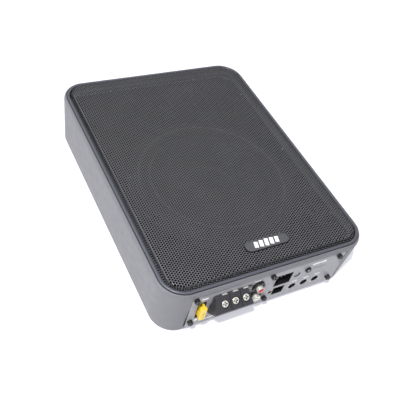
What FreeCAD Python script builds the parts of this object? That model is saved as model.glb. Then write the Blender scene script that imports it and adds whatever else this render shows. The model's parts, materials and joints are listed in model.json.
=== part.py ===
"""Under-seat powered car subwoofer: a shallow tub, an 8-inch class driver, a perforated
steel grille, and an amplifier behind a control panel.

Millimetres. X runs along the control panel, Y runs from the panel (-Y) to the back,
Z is up. The origin is the centre of the underside of the tub; the rubber feet hang below it.
"""
import FreeCAD, Part
import math
import os

V = FreeCAD.Vector
Z_AXIS = V(0, 0, 1)

# ---- driving dimensions ----
WIDTH = 250.0            # X, at the shoulder
LENGTH = 332.0           # Y, at the shoulder
SHOULDER_Z = 61.0        # where the wall starts to curve in
WALL_TOP_Z = 66.0
DRAFT = 3.0              # how far each wall leans in towards the bottom
CORNER_R = 29.0
SHOULDER_INSET = 2.0
WALL = 3.2
FOOT_H = 4.0
FOOT_R = 8.5
FOOT_AT = (103.0, 145.0)

FRAME_OUT = 3.3          # rim bead's outer edge, in from the shoulder outline
BEAD_W = 3.7
BEAD_TOP_Z = 67.6
FRAME_SEAT_Z = 60.0
FRAME_FLANGE_T = 2.0

GRILLE_GAP = 1.6         # between the rim bead and the grille
GRILLE_TOP_Z = 70.0
GRILLE_T = 1.0
GRILLE_ROLL_R = 4.0
GRILLE_CORNER_R = 19.0
HOLE_PITCH = 8.66        # each modelled hole stands for a group of nine small ones
HOLE_R = 3.0

DRIVER_Y = -22.0
FLANGE_R = 99.0
FLANGE_Z = 51.0
FLANGE_T = 2.5
BOWL_R = 84.0
SURROUND_OUT_R = 91.0
CONE_R = 72.0
ROLL_H = 6.0
COIL_R = 19.3
DRIVER_PCR = 95.0        # pitch circle radius of the driver's screws
DRIVER_SCREW_R = 2.0

DECK_Z = 50.0
DECK_T = 3.5
COVER_T = 2.5

PANEL_Y = -165.4         # outer face of the control panel
PANEL_T = 2.0
PANEL_X = (-95.0, 95.5)
PANEL_Z = (5.0, 58.7)
PANEL_SCREWS = [(x, z) for x in (-91.0, -1.5, 85.5) for z in (55.6, 16.0)]

SLIP = 0.05              # radial clearance of a shank in its hole
SLOPE = math.sqrt(0.5)   # sine and cosine of 45 degrees

PARTS = {}


# ---- helpers ----
def box(x0, x1, y0, y1, z0, z1):
    return Part.makeBox(x1 - x0, y1 - y0, z1 - z0, V(x0, y0, z0))


def cyl(r, start, end):
    direction = V(*end) - V(*start)
    return Part.makeCylinder(r, direction.Length, V(*start), direction)


def rod_z(r, x, y, z0, z1):
    return cyl(r, (x, y, z0), (x, y, z1))


def rod_y(r, x, z, y0, y1):
    return cyl(r, (x, y0, z), (x, y1, z))


def group(solids):
    return Part.makeCompound(solids)


def fused(first, *others):
    return first.fuse(list(others)).removeSplitter()


def outline(hx, hy, r, z):
    """A rounded rectangle centred on the origin, at height z, drawn anticlockwise."""
    arcs = []
    for sx, sy in ((1, 1), (-1, 1), (-1, -1), (1, -1)):
        centre = V(sx * (hx - r), sy * (hy - r), z)
        along_x = V(sx * r, 0, 0)
        along_y = V(0, sy * r, 0)
        middle = centre + (along_x + along_y) * SLOPE
        ends = (centre + along_x, centre + along_y)
        if sx * sy < 0:
            ends = ends[::-1]
        arcs.append((ends[0], middle, ends[1]))
    edges = []
    for arc, following in zip(arcs, arcs[1:] + arcs[:1]):
        edges.append(Part.Arc(*arc).toShape())
        edges.append(Part.makeLine(arc[2], following[0]))
    return Part.Wire(edges)


def slab(hx, hy, r, z0, z1):
    return Part.Face(outline(hx, hy, r, z0)).extrude(V(0, 0, z1 - z0))


def inset_slab(inset, z0, z1, corner=None):
    """A slab that follows the shoulder outline at a distance inside it."""
    r = CORNER_R - inset if corner is None else corner
    return slab(WIDTH / 2 - inset, LENGTH / 2 - inset, r, z0, z1)


def wall_inset(z):
    """How far the drafted outer wall is inside the shoulder outline at height z."""
    return DRAFT * (1 - z / SHOULDER_Z)


def lofted(sections):
    """A ruled solid through (inset, z) copies of the shoulder outline."""
    wires = [outline(WIDTH / 2 - i, LENGTH / 2 - i, CORNER_R - i, z) for i, z in sections]
    return Part.makeLoft(wires, True, True)


def turned(points, x=0.0, y=DRIVER_Y):
    """A solid of revolution from (radius, z) points about a vertical axis."""
    ring = [V(x + r, y, z) for r, z in points]
    face = Part.Face(Part.makePolygon(ring + ring[:1]))
    return face.revolve(V(x, y, 0), Z_AXIS, 360)


def washer(r_out, r_in, z0, z1, x=0.0, y=DRIVER_Y):
    return rod_z(r_out, x, y, z0, z1).cut(rod_z(r_in, x, y, z0 - 1, z1 + 1))


def on_circle(count, radius, first_deg=0.0):
    for i in range(count):
        a = math.radians(first_deg + 360 * i / count)
        yield radius * math.cos(a), DRIVER_Y + radius * math.sin(a)


def driver_screw_points():
    return on_circle(8, DRIVER_PCR, 22.5)


def driver_screw_holes(r, z0, z1):
    return [rod_z(r, x, y, z0 - 1, z1 + 1) for x, y in driver_screw_points()]


def edges_at_z(shape, z, tolerance=0.01):
    return [e for e in shape.Edges if all(abs(v.Z - z) < tolerance for v in e.Vertexes)
            and abs(e.BoundBox.ZMax - z) < tolerance]


def edges_at_y(shape, y, tolerance=0.01):
    return [e for e in shape.Edges
            if abs(e.BoundBox.YMax - y) < tolerance and abs(e.BoundBox.YMin - y) < tolerance]


def pan_screw(r_head, h_head, r_shank, length):
    """A cross-recessed pan head screw pointing down, head seated on z = 0."""
    head = Part.makeCylinder(r_head, h_head)
    head = head.makeFillet(h_head * 0.45, edges_at_z(head, h_head))
    arm = 0.62 * r_head
    slot = 0.14 * r_head + 0.15
    depth = 0.5 * h_head
    for hx, hy in ((arm, slot), (slot, arm)):
        head = head.cut(box(-hx, hx, -hy, hy, h_head - depth, h_head + 1))
    shank = Part.makeCylinder(r_shank, length, V(0, 0, -length))
    tip = r_shank * 0.35
    shank = shank.makeChamfer(tip, edges_at_z(shank, -length))
    return fused(head, shank)


def placed(shape, at, direction=Z_AXIS):
    """Turn a shape's +Z onto a direction and move its origin to a point."""
    moved = shape.copy()
    moved.Placement = FreeCAD.Placement(V(*at), FreeCAD.Rotation(Z_AXIS, direction))
    return moved


# ---- tub, bottom cover and fasteners ----
COVER_INSET = DRAFT + WALL + 0.5
LEDGE_INSET = DRAFT + WALL + 7.0
LEDGE_Z = COVER_T + 0.8
LEDGE_T = 4.0
COVER_BOSS_R = 5.0
COVER_SCREW_R = 1.5
COVER_SCREW_INSET = COVER_INSET + 6.0
BRACKET_X = 180.0
BRACKET_Y = 260.0
INSERT_R = 4.0
INSERT_BORE_R = 2.1
FRAME_SCREW_INSET = 10.6
FRAME_SCREW_R = 1.5
COVER_SINK_R = 4.6
COVER_SINK = 1.3         # depth of the recess for each cover screw's head
SMALL_HEAD = (2.8, 1.6)  # radius and height of the small screws' heads
FRAME_HEAD = (2.8, 1.8)
DRIVER_HEAD = (3.7, 2.4)
COVER_SCREW_LEN = 9.0
FRAME_SCREW_LEN = 4.2
DRIVER_SCREW_LEN = 9.0
GASKET_T = 0.8
HOOD_X = (-88.0, 81.5)   # room for the sockets, raised above the deck
HOOD_Y = -148.2
HOOD_Z = 53.4
HOOD_T = 1.6
PANEL_POST_R = 4.0
PANEL_POST_Y = -151.0
PANEL_SCREW_R = 1.5
PANEL_HOLE_R = 1.7
WEB_X = PANEL_SCREWS[2][0]
WEB_HALF = 4.6
WINDOWS = ((-86.6, WEB_X - WEB_HALF), (WEB_X + WEB_HALF, 80.0))
WINDOW_Z = (10.5, 53.2)


def perimeter_points(inset, along_x, along_y):
    """Points on the long and short sides of an inset rectangle."""
    hx = WIDTH / 2 - inset
    hy = LENGTH / 2 - inset
    for x in along_x:
        yield x, hy
        yield x, -hy
    for y in along_y:
        yield hx, y
        yield -hx, y


COVER_SCREWS = list(perimeter_points(COVER_SCREW_INSET, (-80, 0, 80), (-105, 0, 105)))
FRAME_SCREWS = list(perimeter_points(FRAME_SCREW_INSET, (-60, 60), (-110, 0, 110)))


def make_enclosure():
    steps = 5
    shoulder = []
    for i in range(1, steps + 1):
        a = math.radians(90 * i / steps)
        rise = (WALL_TOP_Z - SHOULDER_Z) * math.sin(a)
        shoulder.append((SHOULDER_INSET * (1 - math.cos(a)) + 0.25 * i / steps, SHOULDER_Z + rise))
    outer = lofted([(DRAFT, 0), (0.0, SHOULDER_Z)] + shoulder)
    lower_room = inset_slab(DRAFT + WALL, -1, LEDGE_Z, CORNER_R - DRAFT - WALL)
    ledge_room = inset_slab(LEDGE_INSET, LEDGE_Z - 1, LEDGE_Z + LEDGE_T, 18)
    room = lofted([(wall_inset(z) + WALL, z) for z in (LEDGE_Z + LEDGE_T, DECK_Z - DECK_T)])
    above = inset_slab(WALL, DECK_Z, FRAME_SEAT_Z - 3)
    seat_hole = inset_slab(13.0, DECK_Z, WALL_TOP_Z, 14)
    frame_room = inset_slab(FRAME_OUT - 0.7, FRAME_SEAT_Z, WALL_TOP_Z + 1)
    tub = outer.cut([lower_room, ledge_room, room, above, seat_hole, frame_room])
    tub = add_connector_hood(tub)
    tub = tub.cut(rod_z(BOWL_R + 2, 0, DRIVER_Y, DECK_Z - DECK_T - 1, DECK_Z + 1))
    bosses = [rod_z(COVER_BOSS_R, x, y, LEDGE_Z, LEDGE_Z + 12) for x, y in COVER_SCREWS]
    tub = tub.fuse(bosses)
    holes = [rod_z(COVER_SCREW_R + SLIP, x, y, LEDGE_Z - 1, LEDGE_Z + 9) for x, y in COVER_SCREWS]
    holes += driver_screw_holes(DRIVER_SCREW_R + SLIP, DECK_Z - DECK_T, DECK_Z)
    holes += [rod_z(FRAME_SCREW_R + SLIP, x, y, FRAME_SEAT_Z - 4, FRAME_SEAT_Z + 1) for x, y in FRAME_SCREWS]
    tub = tub.cut(holes)
    return cut_panel_seat(tub).removeSplitter()


def add_connector_hood(tub):
    """A raised box in the deck that makes room for the tall sockets behind the panel."""
    x0, x1 = HOOD_X
    t = HOOD_T
    wall_y = PANEL_Y + PANEL_T + GASKET_T + 1
    hood = box(x0 - t, x1 + t, wall_y, HOOD_Y + t, DECK_Z - DECK_T, HOOD_Z + t)
    room = box(x0, x1, wall_y + 1.6, HOOD_Y, DECK_Z - DECK_T - 1, HOOD_Z)
    return tub.fuse(hood).cut(room)


def cut_panel_seat(tub):
    """The recess for the control panel, its windows and its screw posts."""
    gap = 0.6
    x0, x1 = PANEL_X
    z0, z1 = PANEL_Z
    seat_y = PANEL_Y + PANEL_T + GASKET_T
    recess = box(x0 - gap, x1 + gap, PANEL_Y - 5, seat_y, z0 - gap, z1 + gap)
    tub = tub.cut(recess)
    posts = []
    for x, z in PANEL_SCREWS:
        posts.append(rod_y(PANEL_POST_R, x, z, seat_y, PANEL_POST_Y))
    web = box(WEB_X - WEB_HALF, WEB_X + WEB_HALF, seat_y, seat_y + WALL - 0.2,
              WINDOW_Z[0] - 0.5, WINDOW_Z[1] + 0.8)
    tub = tub.fuse(posts + [web]).removeSplitter()
    windows = [box(wx0, wx1, PANEL_Y - 1, seat_y + 6, WINDOW_Z[0], WINDOW_Z[1]) for wx0, wx1 in WINDOWS]
    holes = [rod_y(PANEL_SCREW_R + SLIP, x, z, PANEL_Y - 1, PANEL_POST_Y - 2) for x, z in PANEL_SCREWS]
    return tub.cut(windows + holes)


def make_bottom_cover():
    plate = inset_slab(COVER_INSET, 0, COVER_T, CORNER_R - COVER_INSET)
    plate = plate.makeFillet(0.8, edges_at_z(plate, 0))
    holes = [rod_z(COVER_SCREW_R + 0.2, x, y, -1, COVER_T + 1) for x, y in COVER_SCREWS]
    holes += [rod_z(COVER_SINK_R, x, y, -1, COVER_SINK) for x, y in COVER_SCREWS]
    holes += [rod_z(INSERT_R, x, y, -1, COVER_T + 1) for x, y in bracket_points()]
    return plate.cut(holes)


def bracket_points():
    for sx in (-1, 1):
        for sy in (-1, 1):
            yield sx * BRACKET_X / 2, sy * BRACKET_Y / 2


def make_bracket_inserts():
    solids = []
    for x, y in bracket_points():
        body = rod_z(INSERT_R, x, y, 0, COVER_T)
        head = rod_z(INSERT_R + 1.6, x, y, COVER_T, COVER_T + 3.5)
        bore = rod_z(INSERT_BORE_R, x, y, -1, COVER_T + 5)
        solids.append(fused(body, head).cut(bore))
    return group(solids)


def make_bottom_gasket():
    ring = inset_slab(COVER_INSET + 0.3, COVER_T, LEDGE_Z, CORNER_R - COVER_INSET - 0.3)
    ring = ring.cut(inset_slab(LEDGE_INSET + 1.2, COVER_T - 1, LEDGE_Z + 1, 17))
    pads = [rod_z(COVER_BOSS_R, x, y, COVER_T, LEDGE_Z) for x, y in COVER_SCREWS]
    holes = [rod_z(COVER_SCREW_R + 0.2, x, y, 0, LEDGE_Z + 1) for x, y in COVER_SCREWS]
    return ring.fuse(pads).cut(holes).removeSplitter()


def make_bottom_cover_screws():
    screw = pan_screw(*SMALL_HEAD, COVER_SCREW_R, COVER_SCREW_LEN)
    return group([placed(screw, (x, y, COVER_SINK), V(0, 0, -1)) for x, y in COVER_SCREWS])


def make_rubber_feet():
    solids = []
    for sx in (-1, 1):
        for sy in (-1, 1):
            x, y = sx * FOOT_AT[0], sy * FOOT_AT[1]
            foot = rod_z(FOOT_R, x, y, -FOOT_H, 0)
            foot = foot.makeFillet(1.2, edges_at_z(foot, -FOOT_H))
            solids.append(foot.cut(rod_z(4.0, x, y, -FOOT_H - 1, -FOOT_H + 0.8)))
    return group(solids)


# ---- grille, its frame and the badge ----
GRILLE_INSET = FRAME_OUT + BEAD_W + GRILLE_GAP
FRAME_FLANGE_Z = FRAME_SEAT_Z + FRAME_FLANGE_T
BADGE_X = 4.4
BADGE_Y = -133.8
BADGE_HALF = 26.8
BADGE_R = 6.7
BADGE_T = 2.2
BADGE_RIM = 1.6
BADGE_FLOOR = 0.3        # depth of the recess for the emblem


def make_grille_frame():
    flange = inset_slab(FRAME_OUT, FRAME_SEAT_Z, FRAME_FLANGE_Z)
    bead = inset_slab(FRAME_OUT, FRAME_FLANGE_Z, BEAD_TOP_Z)
    frame = fused(flange, bead)
    frame = frame.cut(inset_slab(FRAME_OUT + BEAD_W, FRAME_FLANGE_Z, BEAD_TOP_Z + 1))
    frame = frame.cut(inset_slab(GRILLE_INSET + 6.0, FRAME_SEAT_Z - 1, BEAD_TOP_Z, 12))
    frame = frame.makeFillet(1.6, edges_at_z(frame, BEAD_TOP_Z))
    holes = [rod_z(FRAME_SCREW_R + SLIP, x, y, FRAME_SEAT_Z - 1, FRAME_FLANGE_Z - 0.6)
             for x, y in FRAME_SCREWS]
    return frame.cut(holes)


def make_frame_screws():
    """Driven up through the tub's ledge into the frame from below."""
    screw = pan_screw(*FRAME_HEAD, FRAME_SCREW_R, FRAME_SCREW_LEN)
    return group([placed(screw, (x, y, FRAME_SEAT_Z - 3), V(0, 0, -1)) for x, y in FRAME_SCREWS])


def tray(inset, top, corner, roll):
    solid = inset_slab(inset, FRAME_FLANGE_Z, top, corner)
    return solid.makeFillet(roll, edges_at_z(solid, top))


def hole_centres():
    """Staggered hole centres on the flat of the grille, leaving the badge area plain."""
    step_x = HOLE_PITCH * math.sqrt(3) / 2
    reach_x = WIDTH / 2 - GRILLE_INSET - GRILLE_ROLL_R - HOLE_R
    reach_y = LENGTH / 2 - GRILLE_INSET - GRILLE_ROLL_R - HOLE_R
    corner = GRILLE_CORNER_R - GRILLE_ROLL_R
    columns = int(reach_x / step_x)
    rows = int(reach_y / HOLE_PITCH) + 1
    for i in range(-columns, columns + 1):
        for j in range(-rows, rows + 1):
            x = i * step_x
            y = (j + 0.5 * (i % 2)) * HOLE_PITCH
            over_x = max(abs(x) - (reach_x - corner), 0)
            over_y = max(abs(y) - (reach_y - corner), 0)
            beside = max(abs(x - BADGE_X) - (BADGE_HALF - BADGE_R), 0)
            near_badge = math.hypot(beside, y - BADGE_Y) < BADGE_R + HOLE_R
            if math.hypot(over_x, over_y) <= corner and abs(y) <= reach_y and not near_badge:
                yield x, y


def make_grille():
    outer = tray(GRILLE_INSET, GRILLE_TOP_Z, GRILLE_CORNER_R, GRILLE_ROLL_R)
    inner = tray(GRILLE_INSET + GRILLE_T, GRILLE_TOP_Z - GRILLE_T,
                 GRILLE_CORNER_R - GRILLE_T, GRILLE_ROLL_R - GRILLE_T)
    shell = outer.cut(inner)
    return perforated(shell, GRILLE_TOP_Z - GRILLE_T, GRILLE_TOP_Z, list(hole_centres()), HOLE_R)


def perforated(sheet, z_low, z_high, centres, radius):
    """Replace a sheet's two flat faces with pierced ones and add the walls of the holes."""
    faces = []
    flat = {}
    for face in sheet.Faces:
        bounds = face.BoundBox
        level = [z for z in (z_low, z_high) if abs(bounds.ZMin - z) < 1e-4 and abs(bounds.ZMax - z) < 1e-4]
        if level:
            flat[level[0]] = face
        else:
            faces.append(face)
    walls = []
    rims = {z_low: [], z_high: []}
    for x, y in centres:
        rod = rod_z(radius, x, y, z_low, z_high)
        wall = next(f for f in rod.Faces if f.Surface.TypeId == "Part::GeomCylinder")
        walls.append(wall.reversed())
        for edge in wall.Edges:
            for z in rims:
                if abs(edge.BoundBox.ZMax - z) < 1e-4 and abs(edge.BoundBox.ZMin - z) < 1e-4:
                    rims[z].append(Part.Wire([edge]))
    for z, face in flat.items():
        pierced = Part.Face([face.OuterWire] + rims[z], "Part::FaceMakerBullseye")
        if pierced.normalAt(0, 0).dot(face.normalAt(0, 0)) < 0:
            pierced.reverse()
        faces.append(pierced)
    shell = Part.makeShell(faces + walls)
    shell.sewShape()
    solid = Part.makeSolid(shell)
    if solid.Volume < 0:
        solid.reverse()
    return solid


def pill(half, r, z0, z1):
    x0 = BADGE_X - half + r
    x1 = BADGE_X + half - r
    ends = [rod_z(r, x, BADGE_Y, z0, z1) for x in (x0, x1)]
    return fused(box(x0, x1, BADGE_Y - r, BADGE_Y + r, z0, z1), *ends)


def make_badge():
    top = GRILLE_TOP_Z + BADGE_T
    plate = pill(BADGE_HALF, BADGE_R, GRILLE_TOP_Z, top)
    plate = plate.makeFillet(0.9, edges_at_z(plate, top))
    return plate.cut(pill(BADGE_HALF - BADGE_RIM, BADGE_R - BADGE_RIM, top - BADGE_FLOOR, top + 1))


def make_badge_emblem():
    """A plain mark: a row of slanted bars, the outer ones shorter."""
    floor_z = GRILLE_TOP_Z + BADGE_T - BADGE_FLOOR
    pitch = 6.4
    half_w = 2.1
    bars = []
    for step in range(-2, 3):
        x = BADGE_X - 1.0 + step * pitch
        half_l = 4.4 - 0.4 * abs(step)
        bar = box(x - half_w, x + half_w, BADGE_Y - half_l, BADGE_Y + half_l, floor_z, floor_z + 0.5)
        bar.rotate(V(x, BADGE_Y, 0), Z_AXIS, -14)
        bars.append(bar)
    return group(bars)


# ---- control panel ----
FUSE_X = -82.0
FUSE_Z = 33.3
FUSE_SLOT = (4.6, 13.4)      # half width (X) and half height (Z)
RCA_X = -17.0
RCA_Z = (45.0, 29.5)
RCA_COLLAR_R = 7.6
HIGH_LEVEL = (6.0, 26.8, 31.7, 50.3)     # openings: x0, x1, z0, z1
REMOTE = (8.6, 22.8, 14.7, 27.5)
SENSE_HOLE = (5.4, 21.6)
SENSE_HOLE_R = 2.3
KNOB_X = (35.2, 50.8, 66.2)
KNOB_Z = 20.0
KNOB_HOLE_R = 4.5
PHASE_AT = (34.3, 41.8)
PHASE_R = 3.9
LED_AT = (47.0, 45.9)
LED_HOLE_R = 2.9
TERMINAL_X = (-59.5, -47.1, -34.7)
BLOCK_WINDOW = (-65.0, -29.4, 30.0, 48.0)


def make_control_panel():
    x0, x1 = PANEL_X
    z0, z1 = PANEL_Z
    inner_y = PANEL_Y + PANEL_T
    plate = box(x0, x1, PANEL_Y, inner_y, z0, z1)
    upright = [e for e in plate.Edges if e.BoundBox.YLength > PANEL_T - 0.1 and e.BoundBox.XLength < 0.1
               and e.BoundBox.ZLength < 0.1]
    plate = plate.makeFillet(2.0, upright)
    plate = plate.makeChamfer(0.45, edges_at_y(plate, PANEL_Y))
    cuts = [box(FUSE_X - FUSE_SLOT[0], FUSE_X + FUSE_SLOT[0], PANEL_Y - 1, inner_y + 1,
                FUSE_Z - FUSE_SLOT[1], FUSE_Z + FUSE_SLOT[1])]
    for wx0, wx1, wz0, wz1 in (HIGH_LEVEL, REMOTE, BLOCK_WINDOW):
        cuts.append(box(wx0, wx1, PANEL_Y - 1, inner_y + 1, wz0, wz1))
    cuts += [rod_y(RCA_COLLAR_R + 0.1, RCA_X, z, PANEL_Y - 1, inner_y + 1) for z in RCA_Z]
    cuts += [rod_y(KNOB_HOLE_R, x, KNOB_Z, PANEL_Y - 1, inner_y + 1) for x in KNOB_X]
    cuts += [rod_y(PANEL_HOLE_R, x, z, PANEL_Y - 1, inner_y + 1) for x, z in PANEL_SCREWS]
    cuts.append(rod_y(PHASE_R, PHASE_AT[0], PHASE_AT[1], PANEL_Y - 1, inner_y + 1))
    cuts.append(rod_y(LED_HOLE_R, LED_AT[0], LED_AT[1], PANEL_Y - 1, inner_y + 1))
    cuts.append(rod_y(SENSE_HOLE_R, SENSE_HOLE[0], SENSE_HOLE[1], PANEL_Y - 1, inner_y + 1))
    return plate.cut(cuts)


def make_panel_gasket():
    x0, x1 = PANEL_X
    z0, z1 = PANEL_Z
    y0 = PANEL_Y + PANEL_T
    y1 = y0 + GASKET_T
    ring = box(x0 + 0.6, x1 - 0.6, y0, y1, z0 + 0.6, z1 - 0.6)
    ring = ring.cut([box(wx0, wx1, y0 - 1, y1 + 1, WINDOW_Z[0], WINDOW_Z[1]) for wx0, wx1 in WINDOWS])
    return ring.cut([rod_y(PANEL_HOLE_R, x, z, y0 - 1, y1 + 1) for x, z in PANEL_SCREWS])


def make_panel_screws():
    """Black socket-look cap screws with tall round heads."""
    head_r = 3.0
    head_h = 4.4
    key_r = 1.5
    length = 11.0
    head = Part.makeCylinder(head_r, head_h)
    head = head.makeFillet(0.7, edges_at_z(head, head_h))
    hexagon = [V(key_r, 0, head_h - 2.0)]
    for i in range(6):
        turn = FreeCAD.Rotation(Z_AXIS, 60 * (i + 1))
        hexagon.append(turn.multVec(hexagon[0]))
    head = head.cut(Part.Face(Part.makePolygon(hexagon)).extrude(V(0, 0, 3)))
    screw = fused(head, Part.makeCylinder(PANEL_SCREW_R, length, V(0, 0, -length)))
    return group([placed(screw, (x, PANEL_Y, z), V(0, -1, 0)) for x, z in PANEL_SCREWS])


# ---- blade fuse and holder ----
FUSE_PROUD = 6.6
FUSE_HALF = (3.3, 9.6)       # half thickness (X) and half width (Z)
FUSE_GRIP = 3.6              # depth of the thicker head
FUSE_INSIDE = 3.0
BLADE_Z = 7.0
BLADE_HALF = (0.33, 2.6)
BLADE_LEN = 8.0


def make_fuse_body():
    hx, hz = FUSE_HALF
    y0 = PANEL_Y - FUSE_PROUD
    y1 = PANEL_Y + FUSE_INSIDE
    y_neck = y0 + FUSE_GRIP
    grip = box(FUSE_X - hx, FUSE_X + hx, y0, y_neck, FUSE_Z - hz, FUSE_Z + hz)
    grip = grip.makeFillet(0.9, [e for e in grip.Edges if e.BoundBox.YMin < y0 + 0.1])
    neck = box(FUSE_X - hx + 0.7, FUSE_X + hx - 0.7, y_neck, y1, FUSE_Z - hz + 0.9, FUSE_Z + hz - 0.9)
    body = fused(grip, neck)
    waist = box(FUSE_X - hx - 1, FUSE_X + hx + 1, y_neck + 2.0, y1 + 1, FUSE_Z - 2.2, FUSE_Z + 2.2)
    sight = box(FUSE_X - 1.0, FUSE_X + 1.0, y0 - 1, y0 + 0.8, FUSE_Z - 4.5, FUSE_Z + 4.5)
    return body.cut([waist, sight])


def make_fuse_blades():
    y0 = PANEL_Y + FUSE_INSIDE
    hx, hz = BLADE_HALF
    blades = []
    for sz in (-1, 1):
        z = FUSE_Z + sz * BLADE_Z
        blade = box(FUSE_X - hx, FUSE_X + hx, y0, y0 + BLADE_LEN, z - hz, z + hz)
        ends = [e for e in blade.Edges if e.BoundBox.YMin > y0 + BLADE_LEN - 0.1 and e.BoundBox.XLength > 0.5]
        blades.append(blade.makeChamfer(1.2, ends))
    return group(blades)


def make_fuse_holder():
    y0 = PANEL_Y + PANEL_T + 0.1
    y1 = y0 + 14.0
    hx = FUSE_SLOT[0] - 0.2
    hz = FUSE_SLOT[1] + 1.8
    body = box(FUSE_X - hx, FUSE_X + hx, y0, y1, FUSE_Z - hz, FUSE_Z + hz)
    hz = FUSE_SLOT[1] - 0.2
    collar = box(FUSE_X - hx, FUSE_X + hx, PANEL_Y + 1.4, y0, FUSE_Z - hz, FUSE_Z + hz)
    body = fused(body, collar)
    bx, bz = FUSE_HALF
    pocket = box(FUSE_X - bx - 0.1, FUSE_X + bx + 0.1, PANEL_Y - 1, PANEL_Y + FUSE_INSIDE + 0.1,
                 FUSE_Z - bz - 0.1, FUSE_Z + bz + 0.1)
    cuts = [pocket]
    blade_x = BLADE_HALF[0] + 0.12
    blade_z = BLADE_HALF[1] + 0.15
    for sz in (-1, 1):
        z = FUSE_Z + sz * BLADE_Z
        cuts.append(box(FUSE_X - blade_x, FUSE_X + blade_x, PANEL_Y, PANEL_Y + FUSE_INSIDE + BLADE_LEN + 0.6,
                        z - blade_z, z + blade_z))
    return body.cut(cuts)


# ---- screw terminals ----
BLOCK_FRONT = (-179.6, 37.2)     # the front edge, in Y and Z, where the two slopes meet
BLOCK_TOP_Z = 50.0
BLOCK_TOP_X = (-68.7, -31.4)
BLOCK_FOOT_X = (-72.6, -27.2)    # the ends flare outward towards the bottom
BASE_X = (-71.4, -25.8)          # the flat base against the panel
BASE_Z = (26.5, 52.4)
BASE_T = 1.6
OUT_N = V(0, -SLOPE, SLOPE)      # outward along the screws
ENTRY_N = V(0, -SLOPE, -SLOPE)   # outward along the wires
ENTRY_LEN = 17.5
CELL_DEPTH = 15.6                # how deep the wire chambers go under the screw face
CELL_BACK = 13.2
SCREW_IN = 9.2                   # screw axis, back from the front edge
HEAD_R = 4.0
HEAD_H = 2.2
WELL_DEPTH = 2.6
TERMINAL_SCREW_R = 1.9
TERMINAL_SCREW_LEN = 11.0
CELL_HALF = 4.3                  # half width of each wire chamber
LUG_DEPTH = 4.2
LUG_T = 1.0
LUG_HALF = 2.9
LUG_BACK = 14.6                  # where the bar meets its riser
LUG_BEND_Z = 43.4
LUG_TOP_Z = 52.6
LUG_LIP = 1.8
CLAMP_DEPTH = (8.5, 13.2)
CLAMP_HALF = 3.4                 # half length of a clamp along the wire


def block_point(x, depth, back):
    """A point from its depth under the screw face and its distance back from the entry face."""
    at = V(x, BLOCK_FRONT[0], BLOCK_FRONT[1])
    return at - OUT_N * depth - ENTRY_N * back


def block_box(x0, x1, depth0, depth1, back0, back1):
    """A box in the terminal block's own sloping axes."""
    corners = [block_point(x0, d, b) for d, b in
               ((depth0, back0), (depth1, back0), (depth1, back1), (depth0, back1))]
    face = Part.Face(Part.makePolygon(corners + corners[:1]))
    return face.extrude(V(x1 - x0, 0, 0))


def block_rod(r, x, depth0, depth1, back=SCREW_IN):
    start = block_point(x, depth0, back)
    end = block_point(x, depth1, back)
    return Part.makeCylinder(r, (end - start).Length, start, end - start)


def block_wedge():
    """The solid block: a sloping screw face over a sloping wire face, with flared ends."""
    y_front, z_front = BLOCK_FRONT
    low = block_point(0, ENTRY_LEN, 0)
    y_high = y_front + (BLOCK_TOP_Z - z_front)
    x0, x1 = BLOCK_FOOT_X
    profile = [V(x0, PANEL_Y, low.z), V(x0, low.y, low.z), V(x0, y_front, z_front),
               V(x0, y_high, BLOCK_TOP_Z), V(x0, PANEL_Y, BLOCK_TOP_Z)]
    wedge = Part.Face(Part.makePolygon(profile + profile[:1])).extrude(V(x1 - x0, 0, 0))
    nose = [e for e in wedge.Edges if abs(e.BoundBox.YMin - y_front) < 0.01 and e.BoundBox.XLength > 30]
    wedge = wedge.makeFillet(1.2, nose)
    y = y_front - 1
    z_mid = z_front - 1.0
    front = [V(x0, y, 0), V(x1, y, 0), V(x1, y, z_mid), V(BLOCK_TOP_X[1], y, BLOCK_TOP_Z + 1),
             V(BLOCK_TOP_X[0], y, BLOCK_TOP_Z + 1), V(x0, y, z_mid)]
    return wedge.common(Part.Face(Part.makePolygon(front + front[:1])).extrude(V(0, 30, 0)))


def block_base():
    """The flat base, with its lower corners cut away and its upper ones rounded."""
    x0, x1 = BASE_X
    z0, z1 = BASE_Z
    cut_x = 3.0
    cut_z = 9.0
    y = PANEL_Y - BASE_T
    rim = [V(x0, y, z1), V(x0, y, z0 + cut_z), V(x0 + cut_x, y, z0), V(x1 - cut_x, y, z0),
           V(x1, y, z0 + cut_z), V(x1, y, z1)]
    base = Part.Face(Part.makePolygon(rim + rim[:1])).extrude(V(0, BASE_T, 0))
    upper = [e for e in base.Edges if e.BoundBox.YLength > BASE_T - 0.1 and e.BoundBox.ZMin > z1 - 0.1]
    return base.makeFillet(2.0, upper)


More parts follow.
